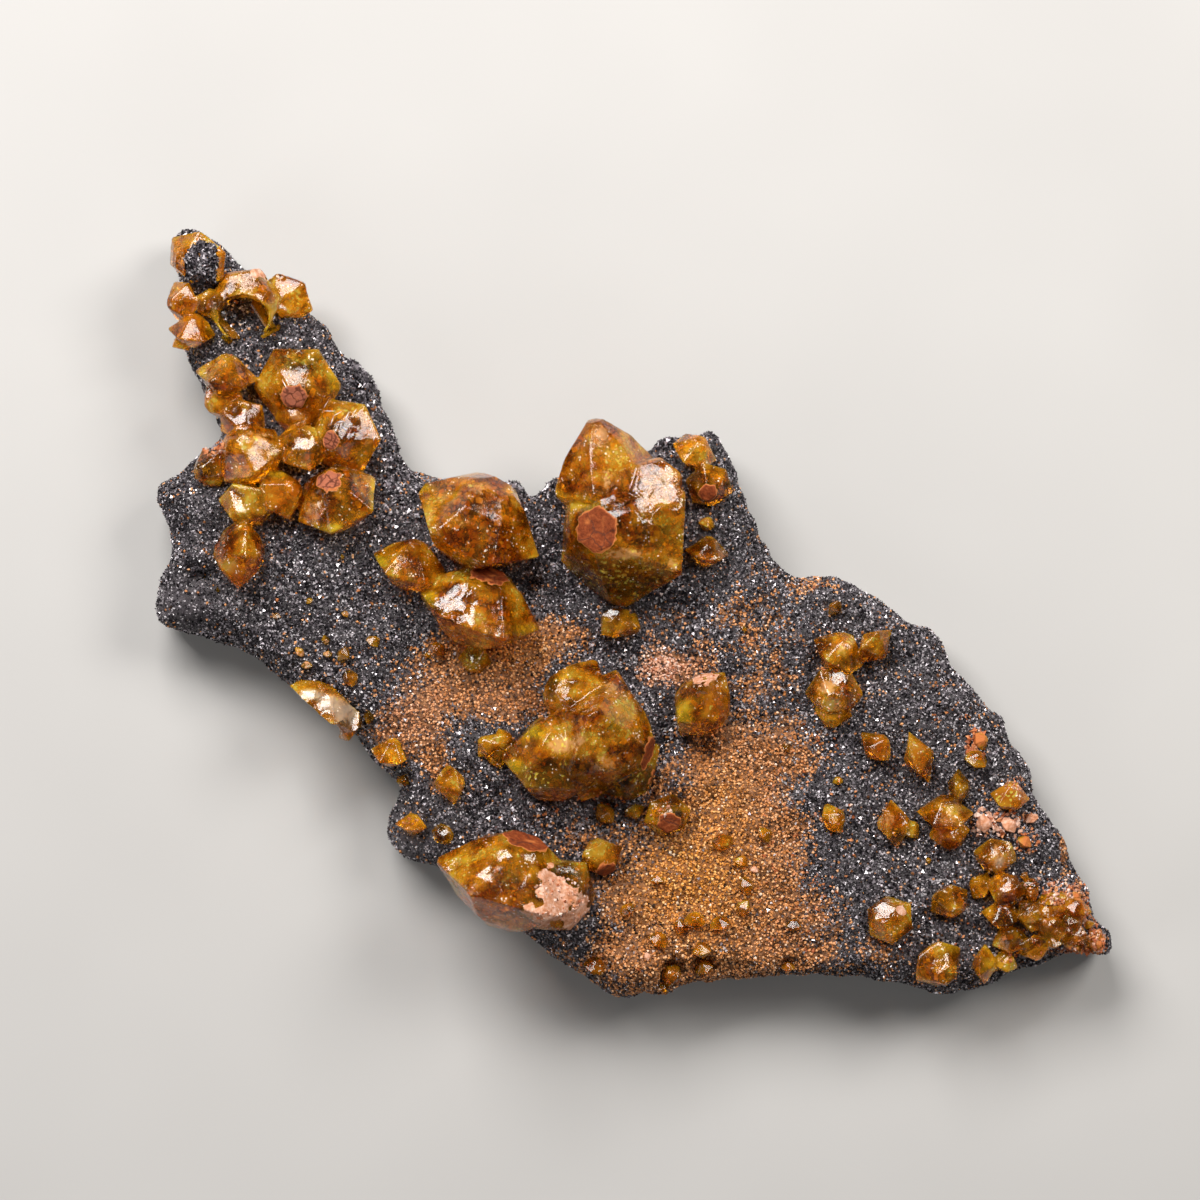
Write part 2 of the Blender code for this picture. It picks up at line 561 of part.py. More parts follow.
def main():
    clear_scene()
    noise.seed_set(NOISE_SEED)
    specimen = new_collection("sturmanite_on_matrix")
    cutters = new_collection("cutters")
    ore = new_material("dark manganese ore", (0.045, 0.043, 0.047), 0.55)
    amber = new_material("sturmanite", (0.62, 0.27, 0.02), 0.18, transmission=0.4)
    plate = plate_blank(specimen)
    sculpt_plate(plate)
    thin_plate_mesh(plate)
    tree = surface_tree(plate)
    clearance = raised_copy(plate, cutters)
    hollow = hollow_cutter(cutters)
    for name, crystals in CRYSTALS.items():
        group = add_crystal_group(name, crystals, tree, amber, specimen)
        if name == BROKEN_GROUP:
            combine(group, hollow, "DIFFERENCE")
        combine(group, clearance, "DIFFERENCE")
    fuse_seedlings(plate, tree, specimen)
    plate.data.materials.clear()
    plate.data.materials.append(ore)


main()
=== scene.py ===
"""The looks of the sturmanite specimen: its druse, iron stain, crystals and light.

Places and sizes are in millimetres in the part's own frame, and MM turns them into
metres. The specimen lies on its back, and the camera looks down on it. A patch in these
tables is an ellipse seen from above: x, y, its two radii and its weight.
"""

import itertools
import json
import math
import random
import zlib

import bmesh
import bpy
import numpy as np
from mathutils import Matrix, Vector
from mathutils.bvhtree import BVHTree

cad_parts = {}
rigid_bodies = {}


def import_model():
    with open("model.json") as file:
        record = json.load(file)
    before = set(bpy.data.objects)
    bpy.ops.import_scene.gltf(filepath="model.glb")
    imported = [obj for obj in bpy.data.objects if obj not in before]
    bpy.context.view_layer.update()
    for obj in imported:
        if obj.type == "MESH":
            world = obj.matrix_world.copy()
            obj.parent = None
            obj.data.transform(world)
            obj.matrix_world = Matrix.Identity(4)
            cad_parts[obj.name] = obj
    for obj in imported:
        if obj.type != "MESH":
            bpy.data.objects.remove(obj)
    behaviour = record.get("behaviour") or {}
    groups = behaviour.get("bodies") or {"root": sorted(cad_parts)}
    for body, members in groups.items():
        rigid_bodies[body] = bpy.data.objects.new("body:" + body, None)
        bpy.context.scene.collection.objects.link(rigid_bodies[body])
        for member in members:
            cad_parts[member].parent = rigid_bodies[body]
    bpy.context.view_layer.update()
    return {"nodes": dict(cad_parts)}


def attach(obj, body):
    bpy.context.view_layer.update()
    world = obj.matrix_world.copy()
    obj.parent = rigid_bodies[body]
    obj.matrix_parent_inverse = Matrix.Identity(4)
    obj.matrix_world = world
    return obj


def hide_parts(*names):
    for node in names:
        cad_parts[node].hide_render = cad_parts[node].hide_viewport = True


MM = 0.001
BODY = "root"
ABOVE = 60  # A height over everything, from which rays are cast straight down

# Camera and lights. A light's row is its place, width, height, watts and colour.
CAMERA_AT = (-3.3, 1.5, 459.0)
CAMERA_LENS = 135
LOOK_AT = (-3.3, 1.5, 0.0)
KEY_LIGHT = (-150.0, 290.0, 330.0)
SIDE_LIGHT = (230.0, 170.0, 300.0)
LIGHTS = [
    (KEY_LIGHT, 300, 200, 2.75, (1.0, 0.975, 0.95)),
    (SIDE_LIGHT, 170, 150, 1.0, (1.0, 0.97, 0.93)),
    ((-330.0, -120.0, 210.0), 200, 180, 0.2, (1.0, 0.98, 0.97)),
    ((60.0, -330.0, 240.0), 240, 140, 0.1, (1.0, 0.98, 0.96)),
]
WORLD_COLOUR = (0.96, 0.98, 1.0, 1.0)
WORLD_STRENGTH = 0.06
FLOOR_SIZE = 4000
FLOOR_DROP = 0.02  # How far the floor is under the specimen, so that they don't coincide

# How fine the meshes are: voxel sizes, and the share of faces that the crystals keep.
PLATE_VOXEL = 0.48
BIG_VOXEL = 0.14
SMALL_VOXEL = 0.11
CRYSTAL_FACES_KEPT = 0.24
BIG_NODES = (
    "crystal_group_arm", "crystal_group_middle", "crystal_group_peak", "crystal_heart",
    "crystal_long", "crystal_group_tip",
)

# Relief of the plate's surface, and of the crystals' faces: span, height. Each block of
# a face is tilted a little too. Noise looks its values up in a table.
PLATE_RELIEF = [(3.2, 0.30), (1.3, 0.24)]
CRYSTAL_RELIEF = [(2.4, 0.03), (1.0, 0.03)]
BLOCK_SPAN = 2.6
BLOCK_SLOPE = 0.010
TABLE_SIZE = 4096

# Patches of bare, smooth rock, and small holes.
BARE = [
    (-45, 0.8, 3.6, 3.4, 1), (-22.6, -22.4, 3, 3.4, 1), (-24.2, -16.6, 1.8, 1.6, 1),
    (-26.8, -12.8, 2, 1.2, 1),
]
PITS = [
    (-10.5, 3, 1.1, 0.8, 1), (6.8, -13.5, 1, 1.5, 1), (-2.7, -32.8, 0.9, 0.7, 1),
    (-42.8, 3.8, 1.1, 0.5, 1),
]

# Patches of iron stain, where grains are orange rather than dark, and the share of loose
# orange grains elsewhere.
STAINS = [
    (8.4, -19.5, 5.4, 6.5, 1), (5, -28, 8, 6.5, 1), (2.5, -34.5, 7, 3.6, 0.9),
    (11.4, -25.6, 4.6, 8, 1), (12, -33.5, 7, 3.2, 0.8), (11, -13.5, 5, 3.6, 0.75),
    (19.5, -32.5, 3.6, 3.2, 0.35), (-17, -5.2, 5, 3, 0.9), (-21.5, -9.4, 4.2, 3.2, 0.78),
    (-11.5, -3, 5, 2.6, 0.85), (-6.5, -2, 4, 2, 0.5), (-24, -12.2, 2.6, 2, 0.6),
    (-12, -8.2, 3.6, 3, 0.8), (-5, -22.4, 4.5, 1.6, 0.45), (3, -5.2, 2.4, 1.7, 1),
    (8, -3.5, 7, 6, 0.31), (12.5, 2, 4.5, 4.5, 0.2), (15.5, -9.5, 4.5, 5, 0.3),
    (15, -1, 4, 4, 0.2), (44.9, -27.4, 0.5, 1.2, 0.6), (43.5, -23.6, 0.5, 2.4, 0.75),
    (18, 3.2, 2, 0.8, 0.5), (25, -34.5, 3.5, 2, 0.4), (-10, -20.5, 4, 1.5, 0.2),
    (17, -30.6, 2.8, 1.6, 0.5), (16.6, -20.6, 1.8, 1.2, 0.4), (-19.9, -14.4, 1.6, 3, 0.6),
    (17.2, -14.6, 2, 1.5, 0.35), (18.6, -28.2, 1.6, 1, 0.35),
]
LOOSE_STAIN = 0.045

# Where the stain is flesh pink, and where it is golden.
FLESH = [(3, -5.2, 3, 2.2, 1), (-22.5, -9.8, 3, 2.6, 0.35)]
GOLDEN = [(6, -26.5, 6, 6, 1), (9, -19, 2.5, 4, 0.5), (-13, -3.5, 5, 2, 0.6)]

# Druse of larger grains, along the rim.
COARSE = [
    (-26.6, 25.2, 2, 3, 1), (-24.2, 18, 0.9, 5, 0.8), (-12, 13.2, 1.2, 0.9, 1),
    (-8.4, 13, 1.4, 0.8, 1), (3, 17.2, 1.6, 0.9, 0.8), (-46, 37.4, 1.6, 1.4, 0.6),
]

# Grains of druse and iron: their spacing and radii, the share of iron grains that are
# kept, and how far to each side the druse's middle piece goes.
DRUSE_SPACING = 0.166
DRUSE_RADII = (0.06, 0.165)
GRANULE_RADII = (0.09, 0.19)
GRANULE_SHARE = 0.50
DRUSE_MIDDLE = 12
HIDDEN_BELOW = 1.6  # A grain is left out where a crystal is closer above it than this

# Flakes inside the crystals.
FLAWS_PER_MM3 = 2.8
FLAW_RADII = (0.08, 0.5)

# Brick-red flat ends by solid: x and y near the end's middle, its azimuth and elevation.
# Triangles that face that way within the tolerance and are in reach belong to the end.
END_REACH = 2.6
END_TOLERANCE = math.radians(10)
RED_ENDS = {
    "crystal_group_arm": [(-33.6, 21.8, 262, 70), (-30, 17.3, 205, 62), (-30.3, 13.4, 112, 48)],
    "crystal_group_peak": [(-3.7, 8.3, 186, 60)],
    "crystal_group_middle": [(-14.3, 4, 71, 22)],
    "crystal_heart": [(1.5, -13.8, 341, 15)],
    "crystal_long": [(-10.7, -22.2, 73, 17)],
    "crystal_capped": [(3.6, -20.8, 285, 66)],
    "crystal_beside_long": [(-2.7, -25.4, 292, 36)],
    "crystal_notch_pair": [(7.4, 12.1, 255, 66)],
}

# Pink and orange crusts by solid: x, y, radius, rise.
CRUSTS = {
    "crystal_long": [
        (-8.4, -25.6, 0.8, 0.05), (-8.4, -27.4, 1.2, 0.07), (-6.9, -27.7, 1.3, 0.07),
        (-7.2, -29, 1.5, 0.08), (-5.4, -29.3, 1.3, 0.07), (-4.6, -30.2, 1, 0.05),
        (-8.8, -29.3, 1.2, 0.06), (-10.2, -28.8, 0.8, 0.04), (-6, -30.4, 1, 0.04),
    ],
    "crystal_shaded": [(7.5, -6, 0.8, 0.05), (6.4, -6.4, 0.5, 0.05)],
    "crystal_bright_face": [(26.6, -29.4, 0.5, 0.05)],
    "crystal_group_tip": [(-37.2, 34.4, 0.8, 0.05)],
}

# Crumbs of crust on crystals and rock: x, y, radii, crumbs to a square millimetre,
# largest crumb, share of pink among the orange.
SMALLEST_CRUMB = 0.09
CRUMBS = [
    (34.3, -12.9, 0.9, 1.4, 34, 0.5, 0.05), (38, -34.3, 0.6, 0.5, 14, 0.26, 0),
    (33.4, -10.2, 0.7, 0.4, 8, 0.22, 0.1), (30.1, -10.4, 0.5, 0.4, 10, 0.25, 0.1),
    (38.3, -16.9, 1, 0.6, 26, 0.26, 0.6), (35, -20.7, 0.9, 1.3, 14, 0.5, 1),
    (37.2, -21, 1.5, 1.2, 18, 0.48, 0.75), (39.6, -20.4, 0.7, 0.7, 14, 0.4, 0.5),
    (39.5, -22.6, 1.2, 1.1, 20, 0.34, 0.15), (40.9, -27.2, 1.6, 0.8, 12, 0.3, 0.6),
    (42.7, -27.6, 1.5, 0.9, 14, 0.34, 0.6), (44.6, -27.9, 1.2, 0.8, 14, 0.3, 0.4),
    (47.1, -33.2, 0.9, 0.9, 26, 0.3, 0.25), (46, -31, 0.7, 1.2, 8, 0.25, 0.3),
    (42, -33.8, 1.3, 0.4, 12, 0.26, 0.2), (43.1, -23.4, 0.3, 1.2, 14, 0.22, 0.1),
    (-35.7, 34.4, 1.3, 0.3, 12, 0.22, 0.5), (-37.7, 30.7, 0.6, 0.5, 8, 0.2, 0.2),
    (-42.1, 16.7, 1.4, 0.8, 34, 0.38, 0.12), (18, 3.2, 1.6, 0.5, 9, 0.24, 0.1),
    (-7.5, -26.8, 1.9, 0.9, 9, 0.26, 0.8), (-6.2, -28.8, 1.7, 1.4, 9, 0.28, 0.8),
    (-9.2, -29.6, 1.7, 0.7, 8, 0.24, 0.7), (7.4, -6, 1.2, 0.4, 8, 0.2, 0.5),
    (25.6, -36, 0.4, 0.4, 10, 0.22, 0.1), (-24.4, -12, 1.2, 0.8, 3, 0.2, 0.3),
    (2.7, -5.3, 1.7, 1.1, 44, 0.2, 0.85), (17.5, -20.5, 4.5, 8, 1.1, 0.34, 0.1),
    (20, -8, 3, 5, 0.6, 0.24, 0.1), (-3, -19.6, 6, 1.8, 2.2, 0.3, 0.2),
    (9, 0, 8, 5, 0.8, 0.22, 0.1), (16, -30, 5, 4, 2, 0.3, 0.1), (34, -31, 8, 4, 0.3, 0.26, 0.1),
    (-31, 3, 6, 5, 0.1, 0.34, 0.1), (32, -9, 3, 2, 0.5, 0.24, 0.1),
    (-43, 26, 3, 1, 0.4, 0.26, 0.1), (45, -31, 2.4, 2.2, 5, 0.2, 0.2),
    (43.5, -33.8, 1.4, 0.35, 22, 0.26, 0.2), (45.6, -29, 0.5, 1.2, 16, 0.24, 0.2),
    (46.5, -31.4, 0.5, 1, 16, 0.24, 0.2), (42.6, -28.2, 1.7, 0.8, 30, 0.34, 0.4),
    (44.3, -28.1, 0.9, 0.9, 26, 0.34, 0.3), (46.8, -32.8, 0.6, 0.9, 40, 0.4, 0.15),
    (46.2, -31.3, 0.5, 0.9, 30, 0.38, 0.15), (45.5, -29.7, 0.5, 1.2, 30, 0.38, 0.2),
    (44.6, -33.7, 1.8, 0.4, 30, 0.32, 0.1), (-22.4, -20.6, 0.8, 0.4, 14, 0.2, 0.3),
    (-30, -5, 4, 2, 0.5, 0.24, 0.1), (1, -35, 6, 1.6, 1.5, 0.3, 0.2),
]

# Crystal faces that mirror a light to the camera, by light: x, y, radius.
MIRRORS = {
    KEY_LIGHT: [
        (-18, -24.7, 0.9), (-42.4, 22.6, 1.2), (-39, 19.3, 1.5), (-32.3, 16.6, 1.8),
        (-39.6, 11.2, 1.5), (-36.5, 33.6, 1.1), (-18.2, 1.9, 2.4), (-16.4, 0.1, 1.4),
        (-2.2, 0.5, 1.2), (-28.5, -11, 1.9), (-30.6, -9, 1.4), (-32.4, -7.9, 1),
        (-12.8, -23.3, 1.4), (-14.6, -25.4, 1.1), (24.9, -29.3, 1.2), (31.2, -34.6, 1.3),
        (37.3, -27.2, 0.95), (20.3, -6.3, 1.1), (-18.9, -21.6, 0.6), (43.4, -31.6, 0.6),
        (39.9, -29.6, 0.6), (26.9, -20.2, 0.5),
    ],
    SIDE_LIGHT: [
        (8.4, -6.9, 0.5), (-34.9, 30.7, 1.2), (1.8, 12.9, 3.3), (-10.4, -23.8, 0.9),
        (31.9, -21.4, 0.9), (-31.2, 11, 1.3), (-28.8, 19, 1.6), (37.7, -23.1, 0.9),
    ],
}

# Patches of colour in the crystals.
ZONES = {
    "olive": [
        (-7.3, 11.1, 0.6, 1.6, 1), (1.9, 8.5, 2.2, 1.6, 0.8), (1.1, 3.9, 3.2, 1.8, 0.9),
        (-3.9, 3.9, 2, 1.6, 0.9), (-6.9, -6.2, 1.6, 1.2, 0.3), (-4.8, -8, 1.2, 1, 0.2),
        (-2, -10.6, 1.4, 0.9, 0.8), (-33.3, 25.2, 2.8, 0.9, 0.7), (-12.5, -25.8, 1.4, 1.3, 0.7),
        (-6.7, -25.6, 1.4, 1.6, 0.8), (-29.4, 8.5, 2.4, 0.5, 0.5), (-1, -16.6, 2.2, 1.2, 0.5),
        (5.8, 7.6, 1.5, 1, 0.6),
    ],
    "gold": [
        (-4.5, 10.8, 2.2, 0.8, 0.6), (-5, 14.5, 1.1, 0.9, 0.4), (-11.9, -15, 1.2, 0.8, 0.9),
        (-9.7, -11.5, 1.4, 0.9, 0.7), (35.4, -35, 0.9, 1.2, 0.6), (32.5, -16.8, 0.8, 1.2, 0.4),
        (0, -19.2, 1.3, 0.5, 0.6), (-10, 5.2, 0.6, 1.1, 0.8), (-20.8, 12.5, 0.9, 0.7, 0.6),
        (-25.5, 5.2, 1.2, 0.7, 1), (-20.3, 1.5, 1.2, 1, 0.7), (-10.8, -1.5, 1.8, 0.9, 0.7),
        (4.9, -10, 1, 1.6, 1), (-42.9, 23.9, 0.6, 1.2, 0.7), (-29.7, 22.9, 0.8, 1.7, 0.7),
        (-26.7, 16.3, 1.5, 1.6, 0.6), (-39.7, 13.1, 1.9, 0.5, 0.8), (-35.5, 14, 1, 0.4, 0.8),
        (-29.4, 8.5, 2.4, 0.5, 0.8), (-25.7, 11.9, 0.6, 1.6, 0.8), (-40.4, 9.7, 1, 0.7, 0.7),
        (-18, -26.8, 1.4, 1.7, 0.7), (-13, -29.9, 1.2, 0.6, 0.9), (-16.6, -23.9, 1.4, 0.7, 0.4),
        (32, -19.4, 1.4, 0.6, 0.8), (31.5, -33, 1.4, 1, 0.5), (-32, -8, 1, 0.8, 0.6),
        (4, -19.2, 1.4, 0.6, 0.5), (-40.8, 28.9, 1.6, 1.8, 0.9), (-36.6, 29.2, 1.3, 1.8, 0.9),
        (42.3, -32.2, 1.5, 1, 0.6), (40.2, -30, 1.2, 0.9, 0.4),
    ],
    # Dark brown: partly darker zones in the crystals, partly painted shade on their lower sides.
    "dark_patch_and_shade": [
        (-7.9, -15.8, 3, 1.5, 0.9), (-0.9, -17.2, 2.8, 1.3, 0.9), (-14.8, 4.6, 3.6, 1.1, 0.7),
        (-3.5, 3.6, 2.8, 2, 0.8), (1.5, 2.8, 3.8, 1.8, 0.8), (-5.6, 6.6, 0.9, 1.6, 0.6),
        (-4.9, -9.9, 1, 0.8, 0.4), (-22.8, 3.2, 1.6, 0.8, 0.5), (-42.6, 14.3, 1.1, 1.1, 0.8),
        (-28.4, 10.4, 2, 1.4, 0.5), (-33.1, 24.6, 1.2, 0.5, 0.8), (-6.9, -24.8, 1.2, 1.2, 0.5),
        (5.7, 10.8, 1.4, 1, 0.6), (-2.6, 0.4, 1.6, 1, 0.6), (38, -30.8, 1.6, 0.6, 0.6),
        (-2.6, 13.9, 0.9, 1.4, 0.4), (3.6, -18.9, 1.2, 0.7, 0.5), (-16, -4.2, 1.3, 1.1, 0.6),
        (-0.2, -18.6, 1, 0.8, 0.5), (-6, -15.4, 3.4, 1.2, 0.8), (0.6, -15.8, 2.2, 1.7, 0.6),
        (-8.1, -6.8, 0.7, 1.5, 0.8), (-1.6, 3.4, 3, 1.6, 0.6), (37.3, -18.2, 1.5, 0.6, 0.8),
        (-3.4, -24.8, 1.3, 1, 0.45), (28.8, -14.8, 0.7, 1.3, 0.7), (43.4, -31.2, 1.2, 0.7, 0.5),
        (24, -12.6, 0.6, 0.8, 0.5), (30.4, -28.9, 0.9, 1.2, 0.5), (41, -30.9, 1.3, 0.5, 0.6),
        (37.6, -28.6, 1.6, 0.5, 0.6),
    ],
    "russet": [
        (7.9, -8.4, 1.1, 2, 0.9), (-35.3, 12.4, 1.5, 1.5, 0.7), (-39.2, 3.8, 1.1, 1.1, 0.9),
        (-15.9, -28.5, 1.9, 0.9, 0.9), (-8.4, -30.4, 1.6, 0.7, 0.9), (-13.6, -30, 2.6, 1.2, 0.7),
        (25, -20.6, 2, 1.8, 0.6), (37.7, -17.9, 2.2, 1.3, 0.8), (24.5, -13.2, 1.6, 1.6, 0.6),
        (28.5, -14.2, 1.2, 2, 0.7), (-9.4, -13.4, 2.4, 1.4, 0.45), (-2.6, -25.4, 1.6, 1.2, 0.8),
        (-21.9, -20.9, 1.4, 0.8, 0.45), (45, -31, 3.2, 2.6, 0.9), (41.5, -30, 2.6, 1.4, 0.6),
        (37.4, -26.8, 2, 1.4, 0.6), (-19.4, -3.6, 1, 1, 0.5), (-26.4, -10.3, 0.8, 0.9, 0.7),
        (31.2, -21.6, 1.6, 1, 0.5), (-44.4, 29.6, 1.4, 1.8, 0.5), (-40.7, 35.6, 0.8, 2.2, 1),
        (-22.9, -11.4, 1.8, 1, 0.6), (6.2, 19, 1.6, 1.2, 0.4), (-15, -1.2, 1.5, 1.2, 0.3),
    ],
    # Pale: partly the blade's own whiteness, partly a painted reflection of the light on it.
    "pale": [
        (-32, -7.9, 1.2, 0.5, 0.8), (-30.3, -8.8, 1.2, 0.8, 0.9), (-28.6, -10, 1.2, 1.2, 1),
        (36.6, -24.6, 0.7, 0.8, 0.6),
    ],
    "cracked": [(-33.6, 21.8, 2, 2, 1), (-30, 17.3, 1.6, 1.6, 1), (-30.3, 13.4, 1.6, 1.6, 1)],
    # Painted highlights: pale patches that paint the sheen of light on the faces into the colour.
    "painted_sheen": [
        (-3.1, 17.9, 0.8, 1.2, 0.8), (-1, 6, 2.3, 0.6, 0.8), (3.8, 4.9, 0.7, 0.8, 0.6),
        (-2.2, -7, 0.8, 0.6, 0.7), (-7.1, -12.8, 1.4, 0.8, 0.9), (-2.4, -14.6, 1.7, 1, 0.55),
        (-5.3, -12.2, 0.8, 0.8, 0.6), (-15.5, 12.5, 1.4, 0.7, 0.6), (-33.6, 19.9, 0.8, 0.7, 0.7),
        (-37.2, 17.5, 1.4, 0.9, 0.6), (-31.6, 10.4, 1.2, 1.4, 0.6), (-40.8, 7.7, 0.4, 0.8, 0.7),
        (-2.6, 13.4, 0.5, 1.6, 0.6), (-17, 9.2, 1.6, 0.8, 0.4), (19.3, -7.2, 0.8, 0.8, 1),
        (20.9, -3.2, 1.1, 0.7, 0.6), (38.6, -17.4, 0.6, 0.4, 0.5), (36.4, -23.6, 0.7, 0.9, 0.6),
        (31.4, -20.2, 0.9, 0.7, 0.6), (25.4, -20.6, 0.7, 0.9, 0.6),
    ],
}

# Crystals that are a little wider than their solids.
WIDENED = {"crystal_tip": (1.25, 1.08, 1.0)}

# Crystals that are slimmer than their solids: the line that they end at, from its start
# to its end, with the crystal on its left.
TRIMMED = {"crystal_blade": ((-34.3, -7.0), (-29.6, -11.2))}

# The tip crystal's face that druse has overgrown: place and radii.
OVERGROWN = ((-43.0, 35.1), (1.6, 2.2))

# Small crystals: x, y, radius, azimuth. Seedlings stand where the plate's solid has one,
# grains are smaller ones, and those of the corner are crowded on its group.
SEEDLINGS = [
    (-23, -16.6, 0.8, 80), (-28.9, -4, 1, 335), (-28.2, -6.3, 1, 20), (-25.9, -2.6, 0.8, 60),
    (-19.4, -3.4, 0.9, 40), (7.4, 9.1, 1, 75), (-2.8, -19.9, 1.3, 215), (0.2, -19.6, 1.2, 285),
    (20.2, 0.7, 1, 325), (34.3, -14.4, 1.3, 70), (34.8, -12.6, 1, 20), (35.1, -20.9, 1.1, 10),
    (37.6, -21, 1, 50), (39.2, -22.7, 0.9, 60), (40, -20.4, 0.8, 110), (8.9, -22.6, 1.2, 280),
    (13.2, -21.9, 1, 30), (10.8, -24.6, 0.9, 70), (11.3, -27, 1.1, 10), (11, -29.2, 1, 160),
    (6.2, -30.5, 1.2, 90), (8.6, -30.7, 1.1, 110), (4.7, -31.1, 0.9, 0), (2.6, -32.4, 1.1, 60),
    (6.9, -33.4, 1.1, 95), (7.1, -35.3, 1.1, 120), (3.9, -36, 1.3, 150), (-3.8, -35.1, 1.3, 60),
    (15.5, -35.2, 0.8, 90), (16, -30.9, 0.9, 90), (-0.6, -29.4, 0.9, 130), (2.4, -26.4, 0.8, 90),
]
GRAINS = [
    (-33.3, -3.7, 0.65, 40), (-32.6, -5, 0.6, 90), (-30.7, -2.5, 0.6, 10), (-30.5, -3.9, 0.5, 80),
    (-35.6, -0.1, 0.5, 90), (-28.7, 0.1, 0.45, 60), (-32.3, 1.4, 0.45, 120), (-29, 5.8, 0.3, 0),
    (-41.5, 2.5, 0.3, 0), (12.1, -25.4, 0.5, 80), (29.6, -24.6, 0.4, 30), (-26.4, -10.2, 0.8, 350),
    (11.1, -1.4, 0.4, 20), (15.3, -13.3, 0.55, 40), (20.5, -16.6, 0.6, 95), (-20.5, -4, 0.45, 70),
    (1.4, -34.1, 0.5, 20), (3.1, -37.4, 0.7, 30), (9.2, -22.4, 0.45, 90), (-25.6, -2.5, 0.5, 30),
]
CORNER = [
    (39.9, -27.9, 0.9, 30), (44.3, -29.2, 1.3, 70), (45.4, -29.9, 0.9, 100), (44, -30.8, 1.1, 20),
    (42.5, -31.6, 1.1, 150), (45.2, -32.6, 0.8, 60), (46.6, -33, 0.6, 10), (42, -32.7, 0.9, 100),
    (41.1, -29.7, 0.9, 200), (45.7, -31.2, 0.8, 120), (44.4, -28.3, 0.7, 10),
    (43.6, -32.7, 0.8, 170), (39.9, -30.2, 0.9, 320), (42.6, -29.6, 1, 250),
    (46.7, -32.2, 0.6, 60), (39.2, -26.2, 0.7, 70), (43, -28.4, 0.8, 20), (40.3, -32.6, 0.8, 30),
    (45, -31.9, 0.5, 200), (43.2, -30.3, 0.6, 330), (41.6, -28.6, 0.6, 100),
    (44.6, -33.3, 0.6, 20), (42, -30.6, 0.6, 60), (43.8, -31.8, 0.6, 140),
]

# Patches where small crystals are crust all through, and where they have an orange-red
# crust.
RUSTED = [
    (35.1, -20.9, 1, 1.2, 1), (37.6, -21, 1.2, 1.2, 1), (40, -20.4, 0.8, 0.8, 1),
    (1.4, -34.1, 0.6, 0.6, 1), (12.1, -25.4, 0.6, 0.6, 0.8), (-33.3, -3.7, 1, 1, 0.42),
    (-32.6, -5, 1, 1, 0.42), (-30.6, -3.9, 0.8, 0.8, 0.5), (-35.6, -0.1, 0.9, 0.9, 0.42),
    (-28.7, 0.1, 0.9, 0.9, 0.4), (-30.6, -2.5, 0.6, 0.6, 0.4),
]
SCORCHED = [
    (34.4, -12.4, 1.3, 1.1, 0.62), (46.9, -32.9, 0.7, 0.8, 0.6), (45.7, -29.6, 0.4, 1, 0.6),
    (44.6, -28.1, 1, 0.5, 0.6), (39.4, -22.7, 1.1, 1, 0.6), (43.6, -33.3, 1.2, 0.4, 0.6),
]

# Painted reflections: needle-like pale slivers on the arm's crystals, where their steps glint: x,
# y, azimuth, length.
PAINTED_GLINTS = [
    (-30.6, 21, 20, 1), (-30.2, 20.3, -15, 1.3), (-29.4, 20, 35, 1.2), (-29, 19.2, 10, 0.9),
    (-28.4, 19.8, 60, 1.1), (-27.6, 20.3, 70, 0.8), (-29.9, 19.3, 80, 1), (-26, 18.6, 60, 0.9),
    (-25.7, 17.6, 65, 0.7), (-31.2, 20.5, -5, 0.8), (-28.6, 18.5, -30, 0.8),
    (-34.6, 22.9, -50, 1.1), (-37.9, 21.9, -40, 0.8), (-37.4, 21.3, -60, 0.6),
    (-42.6, 22.9, 120, 0.9),
]

# Glassy walls left standing round the hollow crystal: ends, thickness, height.
WALLS = [
    ((-41.9, 30.4), (-39.6, 27.5), 0.34, 1.3), ((-38.2, 31.6), (-36.2, 28.6), 0.5, 1.5),
    ((-37.4, 27.8), (-35.3, 28.9), 0.34, 1.0), ((-41.2, 27.9), (-40.2, 27.2), 0.3, 0.8),
]

# Small solids that are set at many places.
OCTAHEDRON = np.array(
    [(1, 0, 0), (-1, 0, 0), (0, 1, 0), (0, -1, 0), (0, 0, 1.2), (0, 0, -1.2)]
)
OCTAHEDRON_FACES = np.array([
    (0, 2, 4), (2, 1, 4), (1, 3, 4), (3, 0, 4), (2, 0, 5), (1, 2, 5), (3, 1, 5), (0, 3, 5),
])
CRUMB = OCTAHEDRON * (1.0, 0.8, 0.42)
TETRAHEDRON = np.array([(1, 1, 1), (-1, -1, 1), (-1, 1, -1), (1, -1, -1)]) * 0.75
TETRAHEDRON_FACES = np.array([(0, 2, 1), (0, 1, 3), (0, 3, 2), (1, 2, 3)])
FLAKE = TETRAHEDRON * (1, 0.8, 0.08)


